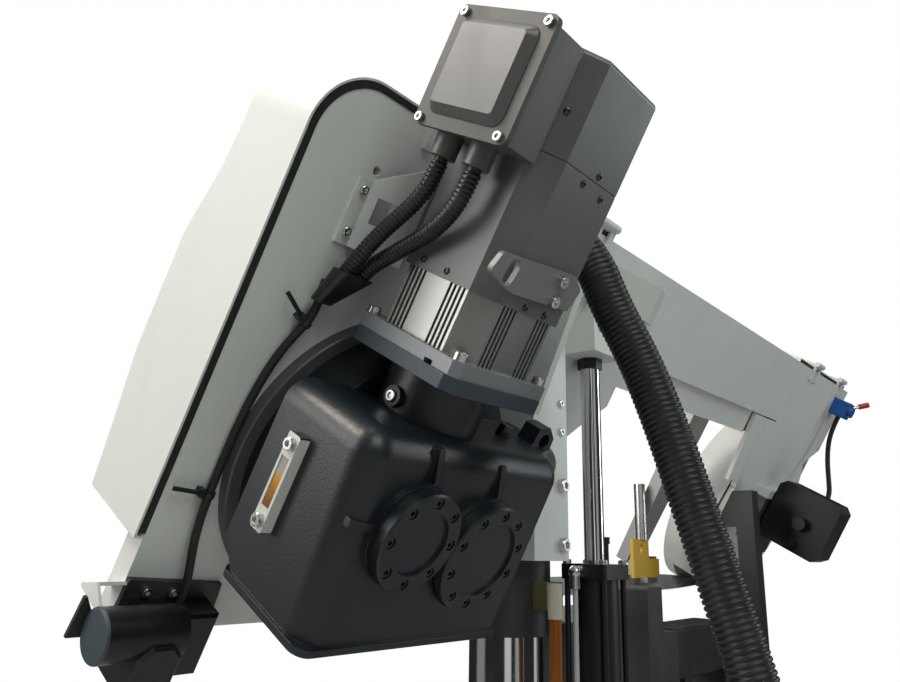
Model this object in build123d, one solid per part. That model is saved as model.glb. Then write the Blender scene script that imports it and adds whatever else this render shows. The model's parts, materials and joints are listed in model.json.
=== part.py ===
from build123d import *
import os
from math import acos, cos, hypot, pi, radians, sin, tan

# A semi-automatic band saw for metal, with a reclined saw frame that travels straight down.
# Origin: floor level, middle of the four anchor holes. +X runs along the blade from the drive
# wheel to the idler wheel, +Y to the front of the machine, +Z up. Lengths in millimetres.

# The saw frame leans back. Its own frame has x along the blade, u up the slope of the back plate
# and n square to the plate, out of its back. The drive wheel's axis is at x = 0, u = 0.
LEAN = 30
DRIVE_Y = -48.2
DRIVE_Z = 1242.2

# Wheels and blade
WHEEL_R = 210
WHEEL_SPAN = 1402
DRIVE_X = -WHEEL_SPAN / 2
WHEEL_FACE = 36
WHEEL_MID_N = -40
BLADE_WIDTH = 34
BLADE_THICK = 1.1
BLADE_LIFT = 0.3
BLADE_TWIST = 60

# Back plate, cover and beam of the saw frame
PLATE_T = 12
PLATE_LEFT = -WHEEL_R - 25
PLATE_TOP = 384
PLATE_BOTTOM = -WHEEL_R - 6
SEAL_T = 7
SHEET_T = 2.5
HINGE_U = PLATE_TOP + 16
HINGE_N = 4
HINGE_R = 6
HINGE_PIN_R = 3
BEAM_START = 484
BEAM_END = WHEEL_SPAN - 164
BEAM_BOTTOM = WHEEL_R + 28
BEAM_DEPTH = 60

# Gearbox and motor
RING_R = 180
CASE_ROUND = 28
CASE_LOW_U = -90
RING_T = 15
CAP_SEAT_N = 205
CAP_T = 15
OUTPUT_CAP_R = 59
INNER_CAP_R = 50
GEAR_MODULE = 3
GEAR_TEETH = 57
PINION_TEETH = 16
GEAR_SHORTENING = 0.9
GEAR_PLAY = 0.4
PINION_ANGLE = 171.6
OUTPUT_SHAFT_R = 24
INNER_SHAFT_R = 14
FIT = 0.05
MOTOR_X = -55
MOTOR_N = 115
MOTOR_SIDE = 140
MOTOR_CHAMFER = 24
FIN_SLOTS = 4
FIN_PITCH = 6
FIN_GAP = 3
MOTOR_FOOT_U = 166
PLUG_U = 118
GAUGE_X = -205
COWL_START_U = 243
COWL_TOP_U = 482
ROTOR_R = 38

# Guides and lift
COLUMN_R = 50
COLUMN_X = DRIVE_X + 254
COLUMN_Y = -86
GUIDE_BOTTOM_Z = 430
POST_SIDE = 40
POST_X = DRIVE_X + WHEEL_SPAN - 208
POST_Y = -97
LIFT_X = DRIVE_X + 351
LIFT_Y = -168
LIFT_ROD_R = 14
LIFT_SIDE = 70
LIFT_TOP_Z = 1127
LIFT_CAP = 20

# Hose, conduits and cable
HOSE_R = 23.5
HOSE_BORE_R = 19.5
HOSE_RIBS = 190
CONDUIT_R = 8.5
CONDUIT_BORE_R = 6
CONDUIT_RIBS = 34
CABLE_R = 4.5
VALVE_HOSE_R = 6

# Base, table and vise
BASE_X = WHEEL_SPAN / 2 - 81
BASE_Y = 300
DECK_Z = 715
BASE_WALL = 6
TABLE_Z = 835
TABLE_T = 18
ANCHOR_X = BASE_X + 30
ANCHOR_Y = 250
ANCHOR_R = 9
FIXED_JAW_Z = 1040
JAW_Z = 1084
VISE_AXIS_Z = 957
VISE_HALF = 47
VISE_Y = -15
ROLLER_R = 22
DRAWER_X = 245
DRAWER_TOP_Z = 290
SLIDE_GAP = 0.3

HEAD = Plane(
    origin=(DRIVE_X, DRIVE_Y, DRIVE_Z),
    x_dir=(1, 0, 0),
    z_dir=(0, -cos(radians(LEAN)), -sin(radians(LEAN))),
).location

GEAR_CENTRES = GEAR_MODULE * (GEAR_TEETH + PINION_TEETH) / 2
INNER_X = GEAR_CENTRES * cos(radians(PINION_ANGLE))
INNER_U = GEAR_CENTRES * sin(radians(PINION_ANGLE))
BLADE_R = WHEEL_R + BLADE_LIFT + BLADE_THICK / 2

# Places that several pieces share
CARRIAGE_Y = -171
CARRIAGE_Z = 1131
WORM_WHEEL_R = 34
WORM_R = abs(MOTOR_X - INNER_X) - WORM_WHEEL_R - 1.5
HOSE_X = 92
HOSE_U = 350
HOSE_COLLAR = 12
HOSE_FOOT_X = DRIVE_X + 185
HOSE_FOOT_Z = 560
HOSE_HANG = [
    (114, -359, 1350),
    (117, -378, 1296),
    (120, -395, 1240),
    (122, -411, 1183),
    (125, -427, 1127),
    (129, -443, 1069),
    (133, -458, 1010),
    (139, -474, 950),
    (146, -490, 888),
    (157, -505, 826),
    (171, -515, 762),
]
GLAND_U = COWL_TOP_U - 136
SLEEVE_U = 197
GLANDS = ((-150, 84), (-148, 128))
LID_SCREWS = ((-7.5, 66.6), (-7.5, 169.6), (-111, 65.4), (-110.5, 168.7))
CABLE_TIES = (
    ((-162, 143.5, 9.5), (-197, 168), (-8, -19)),
    ((-188.25, -53.5, 8), (-230, -50), (1.5, -37)),
)
GUIDE_X = WHEEL_SPAN - 362
BRUSH_X = 50 - WHEEL_R
BRUSH_U = 8 - WHEEL_R
BRUSH_R = hypot(BRUSH_X, BRUSH_U) - WHEEL_R - BLADE_LIFT - BLADE_THICK - 0.6
BRUSH_TOP = BRUSH_U + 28
TENSION_END = WHEEL_SPAN + 34
ROLLER_Y = -250
CONSOLE_Y = BASE_Y + 120
BRUSH_MOTOR_U = 18
BRUSH_MOTOR_N = 47
CONSOLE_X = BASE_X - 230
CONSOLE_SEATS = (
    (CONSOLE_X + 50, 800, 10),
    (CONSOLE_X + 110, 800, 8),
    (CONSOLE_X + 170, 800, 8),
    (CONSOLE_X + 110, 720, 6),
)
TABLE_LEFT = DRIVE_X + 411
TABLE_RIGHT = POST_X - 73
RAIL_U = BEAM_BOTTOM + 52
IDLER_HINGES = (WHEEL_SPAN - 72, WHEEL_SPAN + 138)
VALVE_X = WHEEL_SPAN + 176


def slope(y, z):
    """Place on the saw frame's slope, as u and n, of a level place."""
    back = DRIVE_Y - y
    up = z - DRIVE_Z
    lean = radians(LEAN)
    return back * sin(lean) + up * cos(lean), back * cos(lean) - up * sin(lean)


def level(u, n):
    """Level place, as y and z, of a place on the saw frame's slope."""
    lean = radians(LEAN)
    return DRIVE_Y - n * cos(lean) - u * sin(lean), DRIVE_Z - n * sin(lean) + u * cos(lean)


BLADE_Y, BLADE_Z = level(-BLADE_R, WHEEL_MID_N)


def block(x0, x1, y0, y1, z0, z1):
    """Box between two opposite corners."""
    middle = Pos((x0 + x1) / 2, (y0 + y1) / 2, (z0 + z1) / 2)
    return middle * Box(x1 - x0, y1 - y0, z1 - z0)


def bar(start, end, radius):
    """Round bar between two points."""
    run = Vector(*end) - Vector(*start)
    base = Plane(origin=start, z_dir=run).location
    return base * extrude(Circle(radius), amount=run.length)


def ring(start, end, outer, inner):
    """Round tube between two points."""
    return bar(start, end, outer) - bar(start, end, inner)


def slab(points, z0, z1, corner=0):
    """Plate with a polygon outline in X and Y, between two heights."""
    outline = Polygon(*points, align=None)
    if corner:
        outline = fillet(outline.vertices(), corner)
    return extrude(Pos(0, 0, z0) * outline, amount=z1 - z0, dir=(0, 0, 1))


def prism_x(points, x0, x1):
    """Bar along X with a polygon section in Y and Z."""
    section = Plane.YZ.offset(x0) * Polygon(*points, align=None)
    return extrude(section, amount=x1 - x0, dir=(1, 0, 0))


def prism_y(points, y0, y1):
    """Bar along Y with a polygon section in X and Z."""
    section = Plane.XZ.offset(-y0) * Polygon(*points, align=None)
    return extrude(section, amount=y1 - y0, dir=(0, 1, 0))


def octagon(x, y, side, chamfer):
    """Corners of a square with cut corners, about a middle."""
    half = side / 2
    near = half - chamfer
    return [
        (x - near, y - half),
        (x + near, y - half),
        (x + half, y - near),
        (x + half, y + near),
        (x + near, y + half),
        (x - near, y + half),
        (x - half, y + near),
        (x - half, y - near),
    ]


def screw(head_r, head_h, shank_l=0):
    """Socket screw standing on the XY plane, its shank going down."""
    head = bar((0, 0, 0), (0, 0, head_h), head_r)
    head = chamfer(head.edges().group_by(Axis.Z)[-1], head_r * 0.12)
    head -= Pos(0, 0, head_h * 0.45) * extrude(RegularPolygon(head_r * 0.55, 6), amount=head_h)
    if shank_l:
        head += bar((0, 0, -shank_l), (0, 0, 0), head_r * 0.6)
    return head


def screws(places, way, head_r, head_h, shank_l=0):
    """Like screws at several places, all facing one way."""
    one = screw(head_r, head_h, shank_l)
    return [Plane(origin=place, z_dir=way).location * one for place in places]


def circle_points(x, y, z, radius, count, start=0):
    """Places spread evenly on a circle square to Z."""
    turn = 2 * pi / count
    first = radians(start)
    return [
        (x + radius * cos(first + turn * i), y + radius * sin(first + turn * i), z)
        for i in range(count)
    ]


def bend_radii(points, limit):
    """Radius at each inner point of a route: as wide as its shorter run allows."""
    radii = []
    for before, here, after in zip(points, points[1:], points[2:]):
        first = Vector(*here) - Vector(*before)
        second = Vector(*after) - Vector(*here)
        half = radians(first.get_angle(second)) / 2
        radius = 0.45 * min(first.length, second.length) / tan(half)
        radii.append(min(radius, limit))
    return radii


def route(name, points, limit=2000):
    """Path of straight runs joined by tangent arcs."""
    radii = bend_radii(points, limit)
    path = FilletPolyline(*points, radius=radii)
    print(name, "radii", [round(r) for r in radii], "length", round(path.length))
    return path


def cable(name, points, radius):
    """Round cable along a route."""
    path = route(name, points)
    start = Plane(origin=path @ 0, z_dir=path % 0)
    tube = sweep(start * Circle(radius), path=path)
    print(name, "volume ratio", round(tube.volume / (pi * radius**2 * path.length), 3))
    return tube


def ribbed(name, points, radius, bore, ribs, plain):
    """Ribbed hose with its bore along a route, plain for a short run at both ends."""
    path = route(name, points)
    length = path.length
    pitch = (length - 2 * plain) / ribs
    valley = radius - 0.28 * (radius - bore) - 0.6
    stations = [(0, valley)]
    for i in range(ribs):
        begin = plain + i * pitch
        stations.append((begin + 0.15 * pitch, valley))
        stations.append((begin + 0.35 * pitch, radius))
        stations.append((begin + 0.65 * pitch, radius))
        stations.append((begin + 0.85 * pitch, valley))
    stations.append((length, valley))
    outer = []
    for along, size in stations:
        t = along / length
        way = path % t
        across = Vector(1, 0, 0) - way * way.X
        outer.append(Plane(origin=path @ t, x_dir=across, z_dir=way) * Circle(size))
    skin = loft(outer, ruled=True)
    start = Plane(origin=path @ 0, z_dir=path % 0)
    hole = sweep(start * Circle(bore), path=path)
    hose = skin - hole
    print(name, "ribs", ribs, "pitch", round(pitch, 2), "volume", round(hose.volume))
    return hose


def gear(teeth, turn, z0, z1):
    """Spur gear about Z with involute flanks, one tooth's middle at the given angle."""
    pitch_r = GEAR_MODULE * teeth / 2
    base_r = pitch_r * cos(radians(20))
    tip_r = pitch_r + GEAR_SHORTENING * GEAR_MODULE
    root_r = pitch_r - 1.25 * GEAR_MODULE
    half = (pi * GEAR_MODULE / 2 - GEAR_PLAY) / (2 * pitch_r)
    start_r = max(base_r, root_r)
    flank = []
    for k in range(5):
        r = start_r + (tip_r - start_r) * k / 4
        a = acos(min(1, base_r / r))
        flank.append((r, half + tan(radians(20)) - radians(20) - (tan(a) - a)))
    points = []
    for i in range(teeth):
        middle = turn + 2 * pi * i / teeth
        rise = [(r, middle - a) for r, a in flank]
        fall = [(r, middle + a) for r, a in reversed(flank)]
        tooth = rise + fall
        if root_r < base_r:
            tooth = [(root_r, rise[0][1])] + tooth + [(root_r, fall[-1][1])]
        points += [(r * cos(a), r * sin(a)) for r, a in tooth]
    return slab(points, z0, z1)


def hinge_fixed(x, tab_low):
    """Hinge half on the saw frame: two knuckles with the pin, on tabs down the plate's back."""
    half = bar((x - 24, HINGE_U, HINGE_N), (x + 24, HINGE_U, HINGE_N), HINGE_PIN_R)
    for side in (-1, 1):
        near = x + side * 10.5
        far = x + side * 24
        half += bar((near, HINGE_U, HINGE_N), (far, HINGE_U, HINGE_N), HINGE_R)
        half += block(min(near, far), max(near, far), tab_low, HINGE_U, 0, 4)
    return half


def hinge_moving(x, wall_u):
    """Hinge half on a cover: one knuckle and its tab over the cover's top wall."""
    half = bar((x - 10, HINGE_U, HINGE_N), (x + 10, HINGE_U, HINGE_N), HINGE_R)
    half += block(x - 10, x + 10, wall_u - 1, HINGE_U + 2, -26, HINGE_N)
    return half - bar((x - 30, HINGE_U, HINGE_N), (x + 30, HINGE_U, HINGE_N), HINGE_PIN_R + FIT)


def drive_plate():
    """Back plate of the drive housing, with its folded edge, hinge halves and hose collar."""
    outline = [
        (PLATE_LEFT, PLATE_BOTTOM),
        (290, PLATE_BOTTOM),
        (290, -30),
        (427, 104),
        (BEAM_START - 0.2, 152),
        (BEAM_START - 0.2, PLATE_TOP),
        (PLATE_LEFT, PLATE_TOP),
    ]
    face = Polygon(*outline, align=None)
    face = fillet(face.vertices().sort_by_distance((PLATE_LEFT, PLATE_TOP))[0], 60)
    plate = extrude(Pos(0, 0, -PLATE_T) * face, amount=PLATE_T, dir=(0, 0, 1))
    plate += block(PLATE_LEFT, PLATE_LEFT + 6, PLATE_BOTTOM, -116, -28, -PLATE_T)
    plate += hinge_fixed(-80, PLATE_TOP - 26) + hinge_fixed(268, PLATE_TOP - 26)
    plate += bar((HOSE_X, HOSE_U, 0), (HOSE_X, HOSE_U, HOSE_COLLAR), HOSE_R + 6)
    plate -= bar((HOSE_X, HOSE_U, -20), (HOSE_X, HOSE_U, 40), HOSE_BORE_R)
    plate -= bar((BRUSH_X, BRUSH_U, -20), (BRUSH_X, BRUSH_U, 5), 11)
    plate -= bar((0, 0, -20), (0, 0, 5), 58)
    plate -= bar((-147, 314, -20), (-147, 314, 5), 5)
    return plate


def door_seal():
    """Rubber strip round the drive plate's edge, under the cover's rim."""
    left = PLATE_LEFT - SEAL_T
    top = PLATE_TOP + SEAL_T
    outer = Polygon((left, -104), (282, -104), (282, top), (left, top), align=None)
    outer = fillet(outer.vertices().sort_by_distance((left, top))[0], 60 + SEAL_T)
    inner_left = PLATE_LEFT - FIT
    inner_top = PLATE_TOP + FIT
    inner = Polygon((inner_left, -120), (300, -120), (300, inner_top), (inner_left, inner_top), align=None)
    inner = fillet(inner.vertices().sort_by_distance((inner_left, inner_top))[0], 60 + FIT)
    strip = extrude(Pos(0, 0, -14) * outer, amount=15, dir=(0, 0, 1))
    strip -= extrude(Pos(0, 0, -15) * inner, amount=17, dir=(0, 0, 1))
    for x in (-80, 268):
        strip -= block(x - 25, x + 25, PLATE_TOP, top + 2, -0.5, 5)
    return strip


def cover_shell(outline, profile):
    """Sheet cover: an outline in x and u, cut by a profile in u and n."""
    body = extrude(Pos(0, 0, -200) * outline, amount=200, dir=(0, 0, 1))
    return body & prism_x(profile, -400, 2200)


def drive_cover():
    """Front cover of the drive wheel, a door hinged along its top edge."""
    left = PLATE_LEFT - SEAL_T - SLIDE_GAP - SHEET_T
    top = PLATE_TOP + SEAL_T + SLIDE_GAP + SHEET_T
    low = -110
    right = 300
    depth = [(low, -111), (-38, -120), (40, -132), (178, -132), (250, -112), (300, -106), (346, -106)]

    def shape(inset, back):
        frame = Polygon(
            (left + inset, low + inset),
            (right - inset, low + inset),
            (right - inset, top - inset),
            (left + inset, top - inset),
            align=None,
        )
        frame = fillet(frame.vertices().sort_by_distance((left, top))[0], 68 - inset)
        front = [(u, n + inset) for u, n in depth]
        side = [(low - 5, back)] + [(low - 5, front[0][1])] + front
        side += [(top + 5, front[-1][1] + 14), (top + 5, back)]
        return cover_shell(frame, side)

    shell = shape(0, -0.5) - shape(SHEET_T, 10)
    shell -= block(right - 10, right + 10, low - 5, BEAM_BOTTOM - 6, -82, 5)
    shell -= block(right - 10, right + 10, low - 5, top + 5, -PLATE_T - 1.5, 5)
    shell -= block(PLATE_LEFT - 2, right - 10, low - 5, low + SHEET_T + 2, -84, 5)
    return shell + hinge_moving(-80, top) + hinge_moving(268, top)


def idler_cover():
    """Front cover of the idler wheel, a door hinged along its top edge."""
    top = PLATE_TOP + 12

    def shape(inset, front, back):
        low = Pos(WHEEL_SPAN, 0) * Circle(WHEEL_R + 26 - inset)
        box = Polygon(
            (BEAM_END + 3 + inset, 0),
            (WHEEL_SPAN + WHEEL_R + 26 - inset, 0),
            (WHEEL_SPAN + WHEEL_R + 26 - inset, top - inset),
            (BEAM_END + 3 + inset, top - inset),
            align=None,
        )
        return extrude(Pos(0, 0, front) * (low + box), amount=back - front, dir=(0, 0, 1))

    shell = shape(0, -108, -PLATE_T - 1.5) - shape(SHEET_T, -108 + SHEET_T, 10)
    shell -= block(BEAM_END - 80, BEAM_END + 30, WHEEL_R - 26, BEAM_BOTTOM + 2, -82, 5)
    shell -= block(BEAM_END - 80, WHEEL_SPAN, -WHEEL_R - 30, -WHEEL_R + 22, -82, 5)
    for x in IDLER_HINGES:
        shell += block(x - 10, x + 10, top - 3, HINGE_U + 2, -26, HINGE_N)
        shell += bar((x - 10, HINGE_U, HINGE_N), (x + 10, HINGE_U, HINGE_N), HINGE_R)
        pin = bar((x - 30, HINGE_U, HINGE_N), (x + 30, HINGE_U, HINGE_N), HINGE_PIN_R + FIT)
        shell -= pin
    return shell


def head_beam():
    """Box beam over the blade, with the stepped cover at its root, guide rail and rod bracket."""
    beam = block(BEAM_START, BEAM_END, BEAM_BOTTOM, PLATE_TOP, -BEAM_DEPTH, 0)
    beam -= block(BEAM_START + 8, BEAM_END - 8, BEAM_BOTTOM + 8, PLATE_TOP - 8, -BEAM_DEPTH + 8, -8)
    beam += block(BEAM_START + 76, BEAM_END - 38, RAIL_U, RAIL_U + 40, -BEAM_DEPTH - 12, -BEAM_DEPTH)
    root = prism_y([(262, 0.2), (330, 29), (387, 50), (387, 0.2)], 300, PLATE_TOP - 30)
    end = BEAM_START - 2
    root += prism_y([(387, 0.2), (387, 50), (396, 50), (end, 12), (end, 0.2)], 300, PLATE_TOP - 30)
    bracket_low = 1420
    bracket = block(DRIVE_X + 300, DRIVE_X + 385, -205, -140, bracket_low, bracket_low + 30)
    bracket += block(DRIVE_X + 300, DRIVE_X + 312, -205, -100, bracket_low, bracket_low + 70)
    bracket = HEAD.inverse() * bracket
    bracket &= block(200, 500, -400, 600, 0.2, 400)
    bracket -= prism_y([(262, 0), (330, 29), (387, 50), (396, 50), (482, 12), (482, 0)], 290, 360)
    return beam, root, bracket


def idler_plate():
    """Back plate of the idler housing with its gusset, slide rails and hinge halves."""
    outline = [
        (BEAM_END + 0.2, PLATE_TOP),
        (WHEEL_SPAN + WHEEL_R + 25, PLATE_TOP),
        (WHEEL_SPAN + WHEEL_R + 25, WHEEL_R - 1),
        (WHEEL_SPAN + 160, 162),
        (WHEEL_SPAN, -50),
        (BEAM_END - 60, 60),
        (BEAM_END - 60, BEAM_BOTTOM - 3),
        (BEAM_END + 0.2, BEAM_BOTTOM - 3),
    ]
    face = Polygon(*outline, align=None) + Pos(WHEEL_SPAN, 0) * Circle(WHEEL_R + 18)
    plate = extrude(Pos(0, 0, -PLATE_T) * face, amount=PLATE_T, dir=(0, 0, 1))
    plate -= block(BEAM_END - 200, BEAM_END, BEAM_BOTTOM - 3, 400, -20, 5)
    plate -= block(WHEEL_SPAN - 60, WHEEL_SPAN + 50, -30, 30, -20, 5)
    for side in (-1, 1):
        low = 58.3 if side > 0 else -78
        plate += block(WHEEL_SPAN - 90, WHEEL_SPAN + 90, low, low + 19.7, 0, 34)
    for x in IDLER_HINGES:
        plate += hinge_fixed(x, PLATE_TOP - 26)
    x = BEAM_END - 62
    top = BEAM_BOTTOM - 3
    return plate + slab([(x - 76, top), (x, top), (x, 74), (x - 56, 74)], -9, 0)


def blade_guards():
    """Return guard under the beam and the white guard beside the brush."""
    low = WHEEL_R - 24
    guard = block(BEAM_START + 2, BEAM_END - 64, BEAM_BOTTOM - 3, BEAM_BOTTOM, -78, -9.5)
    guard += block(BEAM_START + 2, BEAM_END - 64, low, BEAM_BOTTOM, -78, -75)
    guard += block(BEAM_START + 2, BEAM_END - 142, low, BEAM_BOTTOM, -12.5, -9.5)
    side = PLATE_LEFT - 31
    u = BRUSH_U
    outline = [(u + 47, 4), (u + 30, 29), (u + 26, 27), (u + 28, -19.3), (u + 31, -21)]
    lower = prism_x(outline, side, side + 3)
    lower += prism_x([(u + 47, 4), (u + 44, 5.9), (u + 28, -19.1), (u + 31, -21)], side, PLATE_LEFT)
    motor_n = BRUSH_MOTOR_N
    lower -= bar((side - 9, u + BRUSH_MOTOR_U, motor_n), (PLATE_LEFT, u + BRUSH_MOTOR_U, motor_n), 28)
    return guard, lower


def blade_section(x, turn):
    """Face across the lower run of the blade, turned about its length."""
    a = radians(turn)
    along = (sin(a) * BLADE_WIDTH / 2, -cos(a) * BLADE_WIDTH / 2)
    thick = (cos(a) * BLADE_THICK / 2, sin(a) * BLADE_THICK / 2)
    corners = []
    for s, t in ((1, 1), (1, -1), (-1, -1), (-1, 1)):
        u = -BLADE_R + s * along[0] + t * thick[0]
        n = WHEEL_MID_N + s * along[1] + t * thick[1]
        corners.append((x, u, n))
    return make_face(Polyline(*corners, close=True))


def saw_blade():
    """Endless blade: round both wheels, turned upright between the two guides."""
    n0 = WHEEL_MID_N - BLADE_WIDTH / 2

    def loop(radius):
        wide = Pos(WHEEL_SPAN / 2, 0) * Rectangle(WHEEL_SPAN, 2 * radius)
        return wide + Circle(radius) + Pos(WHEEL_SPAN, 0) * Circle(radius)

    band = extrude(
        Pos(0, 0, n0) * (loop(BLADE_R + BLADE_THICK / 2) - loop(BLADE_R - BLADE_THICK / 2)),
        amount=BLADE_WIDTH,
        dir=(0, 0, 1),
    )
    start = 90
    upright = 330
    upright_end = GUIDE_X + 50
    end = WHEEL_SPAN - 90
    band -= block(start, end, -WHEEL_R - 40, -WHEEL_R + 40, -120, 60)
    steps = 6
    first = [
        blade_section(start + (upright - start) * i / steps, BLADE_TWIST * i / steps)
        for i in range(steps + 1)
    ]
    last = [
        blade_section(upright_end + (end - upright_end) * i / steps, BLADE_TWIST * (1 - i / steps))
        for i in range(steps + 1)
    ]
    return band + loft(first + last, ruled=True)


def wheel(x, bore):
    """Band wheel with its rim, web, hub and five round windows."""
    n0 = WHEEL_MID_N - WHEEL_FACE / 2
    n1 = WHEEL_MID_N + WHEEL_FACE / 2
    disc = bar((x, 0, n0), (x, 0, n1), WHEEL_R)
    for low, high in ((n0 - 1, WHEEL_MID_N - 6), (WHEEL_MID_N + 6, n1 + 1)):
        disc -= ring((x, 0, low), (x, 0, high), WHEEL_R - 22, 52)
    for place in circle_points(x, 0, n0 - 2, WHEEL_R - 88, 5):
        disc -= bar(place, (place[0], place[1], n1 + 2), 34)
    return disc - bar((x, 0, n0 - 2), (x, 0, n1 + 2), bore)


def gearbox_ring():
    """Round adapter between the back plate and the gearbox, with two bearing seats."""
    disc = bar((0, 0, 0), (0, 0, RING_T), RING_R)
    disc = chamfer(disc.edges().group_by(Axis.Z)[-1], 1.5)
    disc -= bar((0, 0, -1), (0, 0, RING_T + 1), 45 + FIT)
    return disc - bar((INNER_X, INNER_U, 3), (INNER_X, INNER_U, RING_T + 1), 26 + FIT)


def gearbox_housing():
    """Cast gearbox case: round foot, drafted body, bearing bosses and the motor neck."""
    foot = bar((0, 0, RING_T), (0, 0, 76), 165)
    body_side = [(105, 62), (105, 194), (CASE_LOW_U, 212), (CASE_LOW_U, 90), (-66, 62)]
    body = prism_x(body_side, -193, 186)
    plan = [(-193, 50), (186, 50), (186, 138), (118, 180), (80, 216), (-193, 216)]
    body &= prism_y(plan, -120, 120)
    upper = body.edges().filter_by(lambda edge: edge.center().Z > 66 and edge.center().Y > CASE_LOW_U + 30)
    body = fillet(upper, CASE_ROUND)
    rim = [(-196.5, 76), (189, 76), (189, 140), (120, 183), (82, 216), (-196.5, 216)]
    outer = foot + body + prism_y(rim, CASE_LOW_U - 7, CASE_LOW_U)
    outer = fillet(outer.edges().filter_by(Axis.Y).group_by(Axis.Y)[0], 16)
    neck_low = 60
    outer += bar((MOTOR_X, neck_low, MOTOR_N), (MOTOR_X, MOTOR_FOOT_U - 15, MOTOR_N), 54)
    flange = prism_y(
        octagon(MOTOR_X, MOTOR_N, MOTOR_SIDE + 14, 12), MOTOR_FOOT_U - 15, MOTOR_FOOT_U
    )
    outer += flange
    outer += bar((0, 0, 150), (0, 0, CAP_SEAT_N), OUTPUT_CAP_R + 2)
    outer += bar((INNER_X, INNER_U, 150), (INNER_X, INNER_U, CAP_SEAT_N), INNER_CAP_R + 2)
    top = CAP_SEAT_N
    for x, low in ((INNER_X + 3, INNER_U + INNER_CAP_R), (-3, OUTPUT_CAP_R)):
        rib = [(low - 4, 185), (low - 4, top), (low + 6, top), (low + 34, top - 10), (low + 34, 185)]
        outer += prism_x(rib, x - 4, x + 4)
    side = INNER_X - INNER_CAP_R
    rib = [(side + 4, 185), (side + 4, top), (side - 4, top), (side - 28, top - 6), (side - 28, 185)]
    outer += prism_y(rib, INNER_U + 2, INNER_U + 10)
    ear = slab([(100, 60), (150, 60), (146, 118), (130, 130), (112, 126)], 118, 142)
    outer += ear - bar((129, 112, 110), (129, 112, 150), 9)
    outer += bar((63, 100, 130), (63, 112, 130), 9)
    outer += bar((MOTOR_X - 50, PLUG_U, MOTOR_N), (MOTOR_X - 59, PLUG_U, MOTOR_N), 11)
    cavity = bar((0, 0, RING_T - 1), (0, 0, 66), 150)
    cavity += prism_x([(93, 56), (93, 178), (-81, 178), (-81, 98), (-46, 56)], -181, 100)
    outer -= cavity
    outer += bar((MOTOR_X, -86, MOTOR_N), (MOTOR_X, -50, MOTOR_N), 24)
    outer -= bar((MOTOR_X, -74, MOTOR_N), (MOTOR_X, MOTOR_FOOT_U + 1, MOTOR_N), 12 + FIT)
    outer -= bar((MOTOR_X, -40, MOTOR_N), (MOTOR_X, MOTOR_FOOT_U + 1, MOTOR_N), 22)
    outer -= bar((0, 0, CAP_SEAT_N), (0, 0, CAP_SEAT_N + 2 * CAP_T), OUTPUT_CAP_R + 1)
    inner_seat = (INNER_X, INNER_U, CAP_SEAT_N)
    outer -= bar(inner_seat, (INNER_X, INNER_U, CAP_SEAT_N + 2 * CAP_T), INNER_CAP_R + 1)
    outer -= bar((0, 0, 170), (0, 0, CAP_SEAT_N + 1), 40 + FIT)
    outer -= bar((INNER_X, INNER_U, 170), (INNER_X, INNER_U, CAP_SEAT_N + 1), 28 + FIT)
    for place in cap_screw_places():
        x, u, n = place
        outer -= bar((x, u, CAP_SEAT_N - 16), (x, u, n), 3.4)
    return outer


def cap_screw_places():
    """Middles of the screws of both bearing caps, at the seat of their heads."""
    seat = CAP_SEAT_N + CAP_T - 7
    first = circle_points(0, 0, seat, OUTPUT_CAP_R - 10, 10, 18)
    return first + circle_points(INNER_X, INNER_U, seat, INNER_CAP_R - 9, 8)


def bearing_caps():
    """Two round caps over the gearbox bearings, each with a flat sunk middle."""
    caps = []
    for x, u, radius in ((0, 0, OUTPUT_CAP_R), (INNER_X, INNER_U, INNER_CAP_R)):
        cap = bar((x, u, CAP_SEAT_N), (x, u, CAP_SEAT_N + CAP_T), radius)
        cap = chamfer(cap.edges().group_by(Axis.Z)[-1], 2)
        cap -= bar((x, u, CAP_SEAT_N + CAP_T - 3), (x, u, CAP_SEAT_N + CAP_T + 1), radius - 18)
        for px, pu, pn in cap_screw_places():
            if hypot(px - x, pu - u) < radius:
                cap -= bar((px, pu, pn), (px, pu, pn + 20), 5.4)
                cap -= bar((px, pu, CAP_SEAT_N - 1), (px, pu, pn + 1), 3.4)
        caps.append(cap)
    return caps


def gearbox_bearings():
    """Bearings of the output and intermediate shafts, and the hub spacer."""
    rings = []
    for n0, n1, outer in ((0, RING_T, 45), (182, 198, 40)):
        rings.append(ring((0, 0, n0), (0, 0, n1), outer, OUTPUT_SHAFT_R + FIT))
    for n0, n1, outer in ((3, RING_T, 26), (182, 198, 28)):
        rings.append(ring((INNER_X, INNER_U, n0), (INNER_X, INNER_U, n1), outer, INNER_SHAFT_R + FIT))
    return rings


def output_shaft():
    """Output shaft with its gear, the nut at the wheel and a collar."""
    n0 = WHEEL_MID_N - WHEEL_FACE / 2
    shaft = bar((0, 0, n0 - 12), (0, 0, 198), OUTPUT_SHAFT_R)
    shaft += bar((0, 0, n0 - 12), (0, 0, n0 - 0.1), 36)
    shaft += bar((0, 0, WHEEL_MID_N + WHEEL_FACE / 2 + 0.1), (0, 0, -4), 34)
    turn = radians(PINION_ANGLE) + pi / GEAR_TEETH
    wheel_gear = gear(GEAR_TEETH, turn, 30, 60)
    for place in circle_points(0, 0, 28, 56, 6):
        wheel_gear -= bar(place, (place[0], place[1], 62), 14)
    return shaft + wheel_gear


def intermediate_shaft():
    """Intermediate shaft with its pinion and the worm wheel."""
    shaft = bar((0, 0, 4), (0, 0, 198), INNER_SHAFT_R)
    shaft += gear(PINION_TEETH, radians(PINION_ANGLE) + pi, 27, 63)
    shaft += bar((0, 0, MOTOR_N - 15), (0, 0, MOTOR_N + 15), WORM_WHEEL_R)
    return Pos(INNER_X, INNER_U, 0) * shaft


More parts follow.
